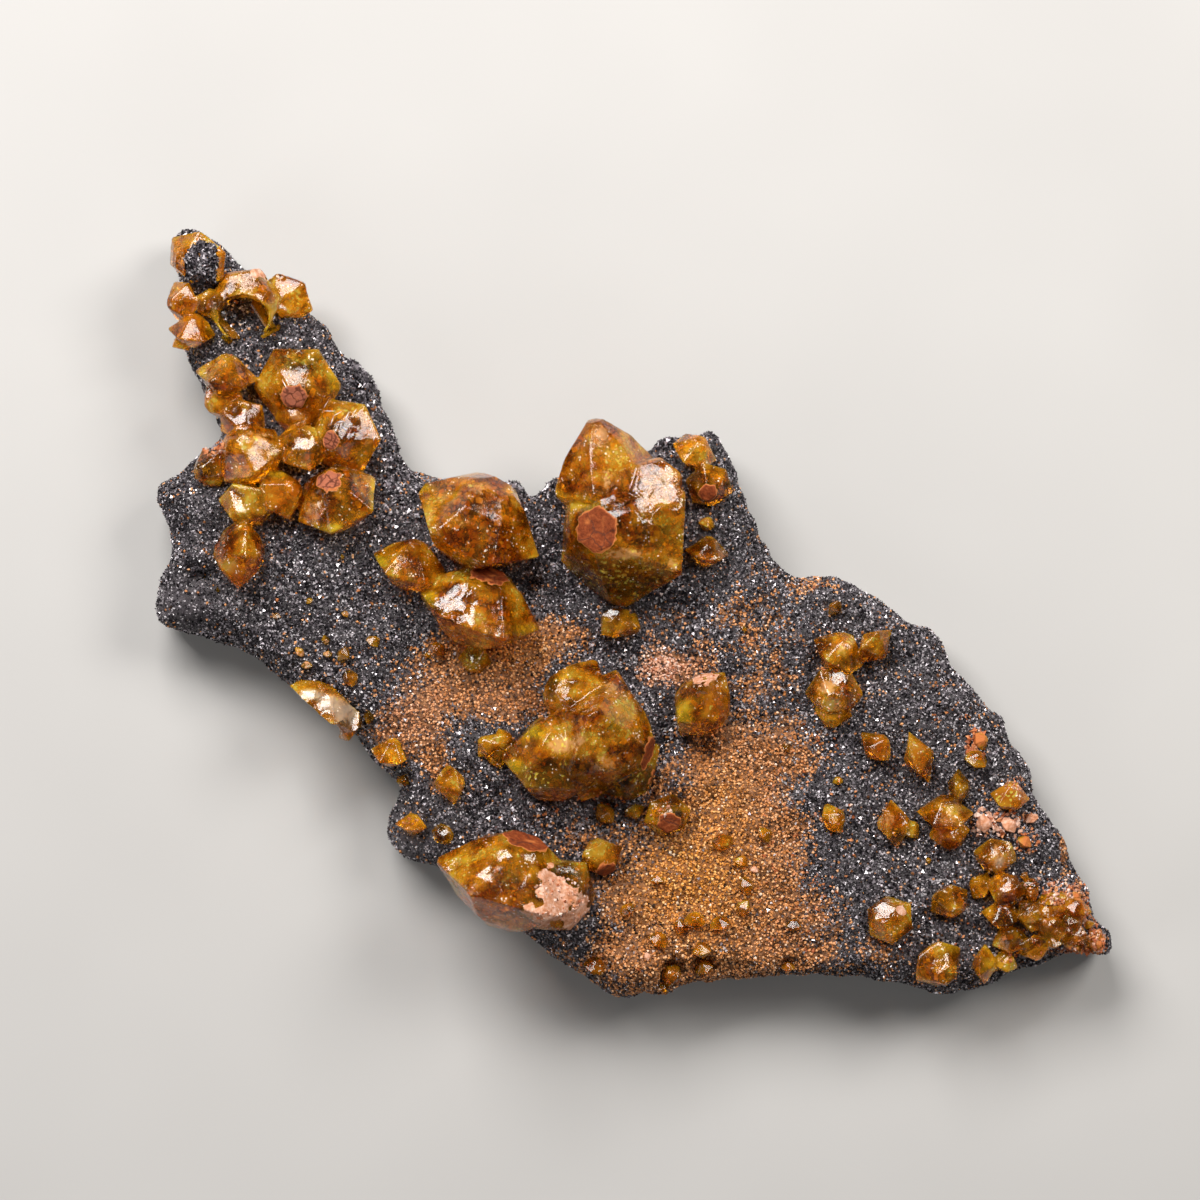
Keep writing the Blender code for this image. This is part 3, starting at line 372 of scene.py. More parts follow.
class Graph:
    """A material's node tree, built one node at a time."""

    def __init__(self, name):
        self.material = bpy.data.materials.new(name)
        self.material.use_nodes = True
        self.tree = self.material.node_tree
        self.tree.nodes.clear()

    def node(self, kind, settings=(), inputs=(), **named):
        """Adds a node. Inputs are values or other nodes' sockets, by number or name."""
        made = self.tree.nodes.new("ShaderNode" + kind)
        for key, value in dict(settings).items():
            setattr(made, key, value)
        for key, value in [*dict(inputs).items(), *named.items()]:
            socket = made.inputs[key.replace("_", " ") if isinstance(key, str) else key]
            if isinstance(value, bpy.types.NodeSocket):
                self.tree.links.new(value, socket)
            else:
                socket.default_value = (*value, 1.0) if socket.type == "RGBA" else value
        return made

    def math(self, operation, first, second):
        return self.node("Math", {"operation": operation}, {0: first, 1: second}).outputs[0]

    def plus(self, first, second):
        return self.math("ADD", first, second)

    def times(self, first, second):
        return self.math("MULTIPLY", first, second)

    def larger(self, first, second):
        return self.math("MAXIMUM", first, second)

    def mix(self, share, first, second):
        """Mixes two colours, or sockets that carry them."""
        inputs = {0: share, 6: first, 7: second}
        return self.node("Mix", {"data_type": "RGBA"}, inputs).outputs[2]

    def between(self, value, low, high):
        """0 below `low` and 1 above `high`, smoothly."""
        smooth = {"interpolation_type": "SMOOTHSTEP"}
        return self.node("MapRange", smooth, Value=value, From_Min=low, From_Max=high).outputs[0]

    def scaled(self, value, low, high):
        """`low` where the value is 0 and `high` where it is 1."""
        return self.node("MapRange", Value=value, To_Min=low, To_Max=high).outputs[0]

    def place(self):
        return self.node("TexCoord").outputs["Object"]

    def noise(self, span, detail=3.0, roughness=0.55, distortion=0.0, output="Fac"):
        """Noise with features about `span` millimetres wide."""
        return self.node(
            "TexNoise", Vector=self.place(), Scale=1 / (span * MM), Detail=detail,
            Roughness=roughness, Distortion=distortion,
        ).outputs[output]

    def cells(self, span, place, feature, output):
        return self.node(
            "TexVoronoi", {"feature": feature}, Vector=place, Scale=1 / (span * MM)
        ).outputs[output]

    def spangles(self, span, share):
        """1 in a share of small cells picked at random, else 0."""
        colour = self.cells(span, self.place(), "F1", "Color")
        picked = self.node("SeparateColor", Color=colour)
        return self.math("GREATER_THAN", picked.outputs[0], 1 - share)

    def attribute(self, name):
        return self.node("Attribute", {"attribute_name": name}).outputs["Fac"]

    def ramp(self, value, *stops):
        """Colours by value. A stop is its position, red, green and blue."""
        made = self.node("ValToRGB", Fac=value)
        elements = made.color_ramp.elements
        while len(elements) < len(stops):
            elements.new(0.5)
        for element, (position, *colour) in zip(elements, stops):
            element.position = position
            element.color = (*colour, 1.0)
        return made.outputs["Color"]

    def bump(self, height, strength, depth, normal=None):
        below = {"Normal": normal} if normal else {}
        return self.node(
            "Bump", Height=height, Strength=strength, Distance=depth * MM, **below
        ).outputs["Normal"]

    def finish(self, volume=None, **inputs):
        """Ends in a Principled surface with these inputs, and in any volume."""
        ends = {"Surface": self.node("BsdfPrincipled", **inputs).outputs[0]}
        if volume:
            ends["Volume"] = volume.outputs[0]
        self.node("OutputMaterial", **ends)
        return self.material


def ore_material():
    """Bare manganese ore between the grains, stained where the iron is."""
    g = Graph("manganese_ore")
    tone = g.ramp(
        g.noise(0.2, 5.0, 0.75), (0.34, 0.006, 0.005, 0.006), (0.48, 0.034, 0.029, 0.031),
        (0.6, 0.09, 0.077, 0.085), (0.72, 0.25, 0.222, 0.235),
    )
    smooth = g.ramp(
        g.noise(0.9, 6.0, 0.7), (0.35, 0.04, 0.034, 0.038), (0.65, 0.125, 0.106, 0.118)
    )
    tone = g.mix(g.attribute("bare"), tone, smooth)
    # Painted glints: a few small cells turn pale grey, as sparkles on the ore.
    tone = g.mix(g.spangles(0.15, 0.06), tone, (0.62, 0.57, 0.6))
    patchy = g.noise(0.5, 5.0, 0.7)
    rust = g.ramp(
        patchy, (0.3, 0.035, 0.013, 0.004), (0.5, 0.2, 0.074, 0.02),
        (0.72, 0.5, 0.22, 0.08),
    )
    rust = g.mix(g.times(g.attribute("golden"), 0.55), rust, (0.42, 0.15, 0.018))
    stain = g.plus(g.attribute("stain"), g.scaled(patchy, -0.5, 0.5))
    return g.finish(
        Base_Color=g.mix(g.between(stain, 0.3, 0.62), tone, rust),
        Roughness=g.scaled(g.noise(0.4), 0.3, 0.65),
        Normal=g.bump(g.noise(0.17, 5.0, 0.75), 0.9, 0.12),
    )


def druse_material():
    """Small dark submetallic grains that glint. The palest few are painted sparkle, on top of the
    real glints of their faces.
    """
    g = Graph("manganese_druse")
    colour = g.ramp(
        g.attribute("shade"), (0.0, 0.004, 0.003, 0.004), (0.38, 0.036, 0.031, 0.037),
        (0.72, 0.17, 0.147, 0.167), (0.9, 0.5, 0.455, 0.49), (1.0, 0.98, 0.94, 0.97),
    )
    roughness = g.scaled(g.noise(0.5), 0.12, 0.42)
    return g.finish(Base_Color=colour, Metallic=0.4, Roughness=roughness)


def granule_material():
    """Grains of iron stain: brown, golden and flesh pink."""
    g = Graph("iron_granules")
    shade = g.attribute("shade")
    brown = g.ramp(
        shade, (0.0, 0.02, 0.008, 0.003), (0.16, 0.1, 0.035, 0.01),
        (0.38, 0.43, 0.16, 0.044), (0.7, 0.7, 0.29, 0.098), (0.97, 0.88, 0.48, 0.24),
        (1.0, 0.95, 0.79, 0.64),
    )
    golden = g.ramp(
        shade, (0.0, 0.04, 0.014, 0.002), (0.16, 0.24, 0.08, 0.008),
        (0.38, 0.58, 0.215, 0.028), (0.7, 0.84, 0.36, 0.06), (0.97, 0.96, 0.56, 0.18),
        (1.0, 1.0, 0.86, 0.66),
    )
    pink = g.ramp(
        shade, (0.0, 0.26, 0.09, 0.045), (0.25, 0.6, 0.26, 0.145), (0.9, 0.88, 0.54, 0.37),
        (1.0, 0.97, 0.88, 0.82),
    )
    brown = g.mix(g.attribute("golden"), brown, golden)
    return g.finish(
        Base_Color=g.mix(g.attribute("flesh"), brown, pink),
        Roughness=g.scaled(g.noise(0.6), 0.2, 0.65), Normal=g.bump(g.noise(0.12), 0.5, 0.05),
    )


def crust_colours(g):
    """Colours of the brick-red ends and of the pink crusts, with dark cracks."""
    swirl = {0: g.noise(1.1, 4.0, 0.5, output="Color")}
    shift = g.node("VectorMath", {"operation": "SCALE"}, swirl, Scale=1.3 * MM).outputs[0]
    wander = g.node("VectorMath", {"operation": "ADD"}, {0: g.place(), 1: shift}).outputs[0]
    large, small = (
        g.cells(span, wander, "DISTANCE_TO_EDGE", "Distance") for span in (3.1, 1.2)
    )
    cracked = g.attribute("cracked")
    fine = g.larger(g.math("SUBTRACT", 1.0, cracked), g.between(small, 0.01, 0.09))
    cracks = g.times(g.between(large, 0.004, 0.035), fine)
    brick = g.ramp(
        g.noise(0.5, 5.0, 0.7), (0.3, 0.11, 0.018, 0.005), (0.55, 0.27, 0.055, 0.013),
        (0.8, 0.48, 0.15, 0.046),
    )
    brick = g.mix(g.times(cracked, 0.6), brick, (0.52, 0.185, 0.11))
    pink = g.ramp(
        g.noise(0.6, 5.0, 0.7), (0.28, 0.4, 0.13, 0.05), (0.46, 0.66, 0.3, 0.165),
        (0.68, 0.9, 0.62, 0.49),
    )
    return g.mix(cracks, (0.12, 0.03, 0.014), brick), pink


def amber_material(name, crusted=False):
    """Clear honey-coloured crystal, where asked with crusts where its attributes say."""
    g = Graph(name)
    large, middling = g.noise(3.6, 5.0, 0.55, 0.3), g.noise(1.4, 5.0, 0.62)
    fine, thick = g.noise(0.45, 4.0, 0.65), g.attribute("thick")
    colour = g.ramp(
        g.plus(g.times(large, 0.66), g.times(middling, 0.34)),
        (0.36, 0.36, 0.12, 0.003), (0.43, 0.6, 0.205, 0.005), (0.49, 0.82, 0.31, 0.009),
        (0.55, 0.94, 0.41, 0.015), (0.63, 1.0, 0.62, 0.05),
    )
    pockets, veins = g.between(fine, 0.57, 0.72), g.between(fine, 0.43, 0.3)
    # Painted light through the crystal: thin parts are painted lighter yellow, as if lit through,
    # and thick parts darker, as painted shade.
    thin, thick_shade = g.between(thick, 1.1, 0.2), g.between(thick, 1.5, 9.0)
    for share, strength, tint in (
        (pockets, 0.35, (0.13, 0.046, 0.002)), (veins, 0.35, (1.0, 0.72, 0.09)),
        (thin, 0.6, (1.0, 0.6, 0.022)), (thick_shade, 0.3, (0.52, 0.17, 0.005)),
    ):
        colour = g.mix(g.times(share, strength), colour, tint)
    broken, dull = g.scaled(middling, -0.35, 0.35), 0.0
    for zone, tint, strength, dullness in (
        ("olive", (0.42, 0.3, 0.012), 0.6, 0.0), ("gold", (1.0, 0.7, 0.03), 0.85, 0.12),
        # Dark brown is partly the crystals' own dark zones, partly painted shade on their lower
        # sides.
        ("dark_patch_and_shade", (0.11, 0.044, 0.003), 0.86, 0.0), ("russet", (0.72, 0.2, 0.012), 0.68, 0.13),
        # Pale is partly the crystals' own whiteness, partly a painted reflection of the light.
        ("pale", (0.62, 0.55, 0.44), 0.75, 0.35),
    ):
        share = g.between(g.plus(g.attribute(zone), broken), 0.15, 0.75)
        colour = g.mix(g.times(share, strength), colour, tint)
        dull = g.larger(dull, g.times(share, dullness))
    # Painted highlight: the sheen patches, broken up by noise, lighten the colour and make it less
    # clear.
    painted_sheen = g.plus(g.attribute("painted_sheen"), g.plus(broken, g.scaled(fine, -0.8, 0.8)))
    painted_sheen = g.between(painted_sheen, 0.25, 0.75)
    colour = g.mix(g.times(painted_sheen, 0.6), colour, (0.88, 0.5, 0.22))
    # Painted glints: small cells turn gold-yellow, like light caught on cracks inside, in clusters
    # and on olive patches.
    painted_glint_clusters = g.larger(g.attribute("olive"), g.between(large, 0.53, 0.6))
    colour = g.mix(g.times(painted_glint_clusters, g.spangles(0.24, 0.14)), colour, (1.0, 0.82, 0.12))
    # Painted glints: tiny pale flecks where the faces sparkle, which also make those spots less
    # clear.
    painted_flecks = g.times(g.spangles(0.15, 0.06), g.between(middling, 0.5, 0.62))
    colour = g.mix(painted_flecks, colour, (0.96, 0.84, 0.66))
    cloud = g.plus(g.times(large, 0.75), g.times(middling, 0.25))
    clear = g.larger(g.scaled(g.between(cloud, 0.4, 0.6), 0.95, 0.68), g.times(thin, 0.85))
    dull = g.larger(g.larger(dull, g.times(painted_sheen, 0.3)), g.times(painted_flecks, 0.6))
    glass = g.math("SUBTRACT", clear, dull)
    frost = g.times(g.attribute("frost"), g.between(fine, 0.43, 0.53))
    normal = g.bump(fine, g.scaled(frost, 0.22, 0.6), 0.07, g.bump(middling, 0.22, 0.26))
    roughness, shine = g.scaled(middling, -0.04, 0.28), 0.36
    if crusted:
        brick, pink = crust_colours(g)
        ragged = g.scaled(g.noise(0.35, 5.0, 0.75), -0.55, 0.55)
        end = g.attribute("red")
        red = g.between(g.plus(end, g.times(ragged, 0.5)), 0.3, 0.55)
        flesh = g.between(g.plus(g.attribute("pink"), ragged), 0.35, 0.6)
        rim = g.times(g.between(end, 0.3, 0.45), g.between(end, 0.95, 0.7))
        brick = g.mix(g.times(rim, 0.8), brick, (0.62, 0.19, 0.05))
        colour = g.mix(flesh, g.mix(red, colour, brick), pink)
        cover = g.larger(red, flesh)
        glass = g.times(glass, g.math("SUBTRACT", 1.0, cover))
        normal = g.bump(g.noise(0.25, 4.0, 0.7), g.times(cover, 0.9), 0.12, normal)
        roughness, shine = g.plus(roughness, g.times(cover, 0.6)), 0.2
    return g.finish(
        g.node("VolumeAbsorption", Color=(0.965, 0.8, 0.1), Density=260.0),
        Base_Color=colour, Roughness=roughness, IOR=1.5, Normal=normal,
        Specular_IOR_Level=shine, Coat_Weight=g.times(frost, 0.6), Coat_Roughness=0.22,
        Transmission_Weight=glass,
    )


def flaw_material():
    """Cracks and veils inside the crystals, which catch the light."""
    g = Graph("crystal_flaws")
    colour = g.ramp(
        g.attribute("shade"), (0.0, 0.45, 0.16, 0.01), (0.4, 0.78, 0.38, 0.03),
        (0.8, 0.92, 0.66, 0.08), (1.0, 1.0, 0.93, 0.3),
    )
    return g.finish(Base_Color=colour, Roughness=0.22)


def painted_glint_material():
    """Pale slivers: painted reflections of glassy steps."""
    g = Graph("painted_glints")
    colour = g.ramp(g.noise(0.3), (0.35, 0.72, 0.6, 0.48), (0.6, 0.93, 0.89, 0.86))
    return g.finish(Base_Color=colour, Roughness=0.15)


def crust_material():
    """Crumbs of crust: orange, or flesh pink to white."""
    g = Graph("orange_crust")
    speckle = g.scaled(g.noise(0.25, 5.0, 0.7), -0.1, 0.5)
    tone = g.plus(g.times(g.attribute("shade"), 0.6), speckle)
    orange = g.ramp(
        tone, (0.05, 0.16, 0.035, 0.008), (0.45, 0.5, 0.13, 0.035), (0.85, 0.78, 0.34, 0.14)
    )
    pink = g.ramp(
        tone, (0.05, 0.34, 0.11, 0.05), (0.45, 0.68, 0.34, 0.21), (0.85, 0.92, 0.74, 0.64)
    )
    return g.finish(
        Base_Color=g.mix(g.attribute("flesh"), orange, pink),
        Roughness=g.scaled(g.noise(0.3), 0.4, 0.8),
        Normal=g.bump(g.noise(0.14, 5.0, 0.7), 0.7, 0.08),
    )


def floor_material():
    g = Graph("pale_floor")
    colour = g.ramp(g.noise(40.0, 2.0), (0.3, 0.53, 0.52, 0.508), (0.7, 0.56, 0.55, 0.537))
    return g.finish(Base_Color=colour, Roughness=0.6)


def triples(data, key, kind=float):
    """The three numbers that each item of a mesh's data has under a key."""
    flat = np.empty(len(data) * 3, dtype=kind)
    data.foreach_get(key, flat)
    return flat.reshape(-1, 3)


def points_of(mesh):
    return triples(mesh.vertices, "co") / MM


def normals_of(mesh):
    return triples(mesh.vertex_normals, "vector")


def triangles_of(mesh):
    mesh.calc_loop_triangles()
    return triples(mesh.loop_triangles, "vertices", np.int32)


def shape_of(mesh):
    return points_of(mesh), triangles_of(mesh)


def crossed(corners):
    """Each triangle's normal, as long as twice its area."""
    return np.cross(corners[:, 1] - corners[:, 0], corners[:, 2] - corners[:, 0])


def set_points(mesh, points):
    mesh.vertices.foreach_set("co", (points * MM).ravel())
    mesh.update()


def set_attribute(mesh, name, values):
    attribute = mesh.attributes.new(name, "FLOAT", "POINT")
    attribute.data.foreach_set("value", np.asarray(values, dtype=np.float32))


def triangle_mesh(name, points, triangles):
    """A mesh from arrays of points, in millimetres, and of triangles."""
    mesh = bpy.data.meshes.new(name)
    mesh.vertices.add(len(points))
    mesh.vertices.foreach_set("co", (points * MM).astype(np.float32).ravel())
    mesh.loops.add(triangles.size)
    mesh.loops.foreach_set("vertex_index", triangles.astype(np.int32).ravel())
    mesh.polygons.add(len(triangles))
    mesh.polygons.foreach_set("loop_start", np.arange(0, triangles.size, 3, dtype=np.int32))
    mesh.update(calc_edges=True)
    return mesh


def add_piece(name, mesh, material, replaced=None, smooth=False):
    """Adds a piece of the specimen, riding on its one body."""
    obj = bpy.data.objects.new(name, mesh)
    bpy.context.scene.collection.objects.link(obj)
    mesh.materials.clear()
    mesh.materials.append(material)
    mesh.polygons.foreach_set("use_smooth", np.full(len(mesh.polygons), smooth))
    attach(obj, BODY)
    if replaced:
        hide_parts(replaced)


def modified(mesh, kind, **settings):
    """The mesh as a modifier leaves it."""
    obj = bpy.data.objects.new("modified", mesh)
    bpy.context.scene.collection.objects.link(obj)
    modifier = obj.modifiers.new("change", kind)
    for key, value in settings.items():
        setattr(modifier, key, value)
    bpy.context.view_layer.update()
    graph = bpy.context.evaluated_depsgraph_get()
    result = bpy.data.meshes.new_from_object(obj.evaluated_get(graph))
    bpy.data.objects.remove(obj, do_unlink=True)
    return result


def remeshed(node, voxel):
    """A closed, even mesh of a CAD node's shape."""
    return modified(node.data.copy(), "REMESH", mode="VOXEL", voxel_size=voxel * MM)


def tree_of(points, triangles):
    return BVHTree.FromPolygons(points.tolist(), triangles.tolist())


def joined_tree(shapes):
    """One search tree of several shapes, each with its points and its triangles."""
    starts = np.cumsum([0] + [len(points) for points, _ in shapes])
    return tree_of(
        np.concatenate([points for points, _ in shapes]),
        np.concatenate([triangles + start for (_, triangles), start in zip(shapes, starts)]),
    )


def drop(tree, x, y):
    """The topmost point at x and y, and the way that the surface faces there."""
    return tree.ray_cast(Vector((x, y, ABOVE)), Vector((0, 0, -1)))[:2]


def hashed(cell):
    """A place in the table for each cell of space, as good as random."""
    mixed = (cell[:, 0] * 73856093) ^ (cell[:, 1] * 19349663) ^ (cell[:, 2] * 83492791)
    return mixed % TABLE_SIZE


def lattice_noise(points, span, seed):
    """Smooth noise from -1 to 1 with features about `span` millimetres wide."""
    table = np.random.default_rng(seed).uniform(-1, 1, TABLE_SIZE)
    cell = np.floor(points / span).astype(np.int64)
    part = points / span - cell
    part = part * part * (3 - 2 * part)
    total = np.zeros(len(points))
    for corner in itertools.product((0, 1), repeat=3):
        share = np.where(corner, part, 1 - part)
        total += table[hashed(cell + corner)] * np.prod(share, axis=1)
    return total


def relief(points, layers, seed):
    """Noise in layers, each with its own span and height."""
    return sum(
        height * lattice_noise(points, span, seed + k) for k, (span, height) in enumerate(layers)
    )


def blocks(points, seed):
    """For each point, the nearest of scattered block centres and that block's number."""
    jitter = np.random.default_rng(seed).uniform(0, 1, (TABLE_SIZE, 3))
    cell = np.floor(points / BLOCK_SPAN).astype(np.int64)
    best = np.full(len(points), np.inf)
    centre = np.zeros_like(points)
    number = np.zeros(len(points), dtype=np.int64)
    for step in itertools.product((-1, 0, 1), repeat=3):
        near = cell + step
        key = hashed(near)
        place = (near + jitter[key]) * BLOCK_SPAN
        away = ((points - place) ** 2).sum(axis=1)
        closer = away < best
        best[closer] = away[closer]
        centre[closer] = place[closer]
        number[closer] = key[closer]
    return centre, number


def field(points, patches):
    """0 to 1: how much the patches cover each point."""
    left = np.ones(len(points))
    for x, y, across, along, weight in patches:
        away = ((points[:, :2] - (x, y)) / (across, along)) ** 2
        left *= 1 - weight * np.exp(-(away.sum(axis=1) ** 1.15) * 0.8)
    return 1 - left


def smoothstep(value, low, high):
    share = np.clip((value - low) / (high - low), 0, 1)
    return share * share * (3 - 2 * share)


def spread(limits, share):
    low, high = limits
    return low + (high - low) * share


def stain_of(points):
    """How iron-stained the front is at each point."""
    ragged = 0.22 * lattice_noise(points, 2.4, 11) + 0.2 * lattice_noise(points, 0.9, 12)
    return np.clip(field(points, STAINS) + ragged * 0.9, 0, 1)


def level_seedlings(points):
    """Takes the solid's seedlings out of the plate, since each has its own crystal."""
    for x, y, radius, _ in SEEDLINGS:
        away = np.hypot(points[:, 0] - x, points[:, 1] - y)
        ring = (away > 1.25 * radius) & (away < 1.9 * radius) & (points[:, 2] > 3)
        if ring.any():
            ground = np.percentile(points[ring, 2], 70)
            points[(away < 1.3 * radius) & (points[:, 2] > ground), 2] = ground


def dress_plate(node, looks):
    mesh = remeshed(node, PLATE_VOXEL)
    points = points_of(mesh)
    level_seedlings(points)
    set_points(mesh, points)
    normals = normals_of(mesh)
    push = relief(points, PLATE_RELIEF, 30)
    bare = field(points, BARE)
    push *= 1 - 0.7 * bare
    push *= np.clip(points[:, 2], 0, 1)
    push -= 0.8 * field(points, PITS) * (normals[:, 2] > 0.3)
    points += normals * push[:, None]
    points[:, 2] = np.maximum(points[:, 2], 0.0)
    set_points(mesh, points)
    front = smoothstep(normals_of(mesh)[:, 2], -0.3, 0.4)
    set_attribute(mesh, "stain", stain_of(points) * front)
    set_attribute(mesh, "bare", bare)
    set_attribute(mesh, "golden", field(points, GOLDEN))
    add_piece("ore_plate", mesh, looks["ore"], "matrix", smooth=True)
    return mesh


def sample_surface(mesh, spacing, seed):
    """Points spread over a mesh, one to each square of `spacing`, and their normals."""
    corners = points_of(mesh)[triangles_of(mesh)]
    corners = corners[np.lexsort(np.round(corners.mean(axis=1), 4).T)]
    facing = crossed(corners)
    area = np.linalg.norm(facing, axis=1) / 2
    rng = np.random.default_rng(seed)
    count = np.floor(area / spacing**2 + rng.uniform(0, 1, len(area))).astype(int)
    chosen = np.repeat(np.arange(len(area)), count)
    u, v = rng.uniform(0, 1, (2, len(chosen)))
    flip = u + v > 1
    u[flip], v[flip] = 1 - u[flip], 1 - v[flip]
    a, b, c = corners[chosen].transpose(1, 0, 2)
    normals = facing[chosen] / (2 * area[chosen, None])
    return a + u[:, None] * (b - a) + v[:, None] * (c - a), normals


def random_turns(rng, count):
    """Random rotation matrices."""
    q = rng.normal(size=(count, 4))
    w, x, y, z = (q / np.linalg.norm(q, axis=1, keepdims=True)).T
    rows = (
        (1 - 2 * (y * y + z * z), 2 * (x * y - w * z), 2 * (x * z + w * y)),
        (2 * (x * y + w * z), 1 - 2 * (x * x + z * z), 2 * (y * z - w * x)),
        (2 * (x * z - w * y), 2 * (y * z + w * x), 1 - 2 * (x * x + y * y)),
    )
    return np.array(rows).transpose(2, 0, 1)


def scattered(name, places, radii, rng, shape, faces):
    """One mesh of a small solid set at every place, each turned at random."""
    turns = random_turns(rng, len(places))
    corners = np.einsum("nij,kj->nki", turns, shape) * radii[:, None, None]
    corners *= rng.uniform(0.8, 1.2, (len(places), len(shape), 1))
    points = (places[:, None, :] + corners).reshape(-1, 3)
    first = np.arange(len(places))[:, None, None] * len(shape)
    mesh = triangle_mesh(name, points, (first + faces).reshape(-1, 3))
    set_attribute(mesh, "shade", np.repeat(rng.uniform(0, 1, len(places)), len(shape)))
    return mesh


def open_to_view(places, tree):
    """Which places have no crystal close above them."""
    up = Vector((0, 0, 1))
    return np.array([
        tree.ray_cast(Vector(place) + up * 0.05, up, HIDDEN_BELOW)[0] is None for place in places
    ])


def add_druse(name, places, radii, looks, rng):
    mesh = scattered(name, places, radii, rng, TETRAHEDRON, TETRAHEDRON_FACES)
    add_piece(name, mesh, looks["druse"])


def cover_with_grains(plate, crystals, looks):
    """Druse and iron granules over the plate's front and edge."""
    places, normals = sample_surface(plate, DRUSE_SPACING, 5)
    rng = np.random.default_rng(6)
    keep = (places[:, 2] > 0.5) & (normals[:, 2] > -0.25)
    keep &= rng.uniform(0, 1, len(places)) > 0.75 * field(places, BARE)
    places, normals = places[keep], normals[keep]
    seen = open_to_view(places, crystals)
    places, normals = places[seen], normals[seen]
    chance = rng.uniform(0, 1, len(places))
    stained = chance < smoothstep(stain_of(places), 0.08, 0.85) * 0.95
    stained |= chance < LOOSE_STAIN
    granular = stained & (rng.uniform(0, 1, len(places)) < GRANULE_SHARE)
    coarse = 1 + 0.4 * np.clip(lattice_noise(places, 3.0, 21), 0, 1)
    coarse += 1.1 * field(places, COARSE)
    druse = spread(DRUSE_RADII, rng.uniform(0, 1, len(places)) ** 2.2) * coarse
    granule = spread(GRANULE_RADII, rng.uniform(0, 1, len(places)))
    radii = np.where(stained, granule, druse)
    places = places + normals * (radii * 0.35)[:, None]
    places[:, 2] = np.maximum(places[:, 2], radii * 1.4)
    x = places[:, 0]
    for label, part in (
        ("west", x < -DRUSE_MIDDLE), ("middle", np.abs(x) <= DRUSE_MIDDLE),
        ("east", x > DRUSE_MIDDLE),
    ):
        here = ~stained & part
        add_druse("druse_" + label, places[here], radii[here], looks, rng)
    mesh = scattered(
        "iron_granules", places[granular], radii[granular], rng, OCTAHEDRON, OCTAHEDRON_FACES
    )
    for tint, patches in (("flesh", FLESH), ("golden", GOLDEN)):
        cover = field(places[granular], patches)
        set_attribute(mesh, tint, np.repeat(cover, len(OCTAHEDRON)))
    add_piece("iron_granules", mesh, looks["granule"])


def thickness(points, normals, tree):
    """How far through the crystal it is, straight down or up, from each point."""
    found = np.empty(len(points))
    for k, (point, normal) in enumerate(zip(points, normals)):
        way = Vector((0, 0, -1 if normal[2] > 0 else 1))
        hit = tree.ray_cast(Vector(point) - Vector(normal) * 0.04, way)
        found[k] = hit[3] if hit[0] is not None else 0.3
    return found


def mosaic(points, normals, seed):
    """Offsets that tilt each block of a face a little out of its plane."""
    places = points + normals * 2.5
    centre, number = blocks(places, seed)
    tilt = np.random.default_rng(seed + 1).normal(0, BLOCK_SLOPE, (TABLE_SIZE, 3))[number]
    step = np.random.default_rng(seed + 2).uniform(-0.02, 0.02, TABLE_SIZE)[number]
    return np.clip(((places - centre) * tilt).sum(axis=1) + step, -0.14, 0.14)


def end_of(node, near, azimuth, elevation):
    """A search tree of the solid's triangles on one flat end, and the way it faces."""
    az, el = math.radians(azimuth), math.radians(elevation)
    axis = np.array((math.cos(el) * math.cos(az), math.cos(el) * math.sin(az), math.sin(el)))
    points, triangles = shape_of(node.data)
    corners = points[triangles]
    facing = crossed(corners)
    facing = facing @ axis / np.maximum(np.linalg.norm(facing, axis=1), 1e-9)
    away = np.linalg.norm(corners.mean(axis=1)[:, :2] - near, axis=1)
    chosen = triangles[(facing > math.cos(END_TOLERANCE)) & (away < END_REACH)]
    return tree_of(points, chosen), axis


def redness(name, node, points):
    """1 on the solid's brick-red ends, with ragged edges."""
    red = np.zeros(len(points))
    ragged = 0.14 * lattice_noise(points, 0.5, 61)
    for x, y, azimuth, elevation in RED_ENDS.get(name, []):
        tree, axis = end_of(node, (x, y), azimuth, elevation)
        for k in np.nonzero(np.linalg.norm(points[:, :2] - (x, y), axis=1) < 4.5)[0]:
            spot = tree.find_nearest(Vector(points[k]), 1.0)[0]
            if spot is None:
                continue
            step = points[k] - spot
            rise = step @ axis
            away = np.linalg.norm(step - rise * axis)
            if abs(rise) < 0.35:
                red[k] = max(red[k], 1 - min(max((away + ragged[k] - 0.06) / 0.14, 0), 1))
    return red


def crust_on(name, points, normals):
    """How much crust covers each point, and how far it stands out."""
    cover, rise = np.zeros(len(points)), np.zeros(len(points))
    ragged = 0.55 * lattice_noise(points, 0.9, 63) + 0.4 * lattice_noise(points, 0.4, 64)
    lumps = 0.7 + 0.5 * lattice_noise(points, 0.5, 65)
    for x, y, radius, height in CRUSTS.get(name, []):
        away = np.linalg.norm(points[:, :2] - (x, y), axis=1) / radius
        share = smoothstep(1.1 - away + ragged, 0.0, 0.25) * (normals[:, 2] > -0.1)
        cover = np.maximum(cover, share)
        rise = np.maximum(rise, share * height * lumps)
    return cover, rise


def unit(vector):
    return vector / np.linalg.norm(vector)


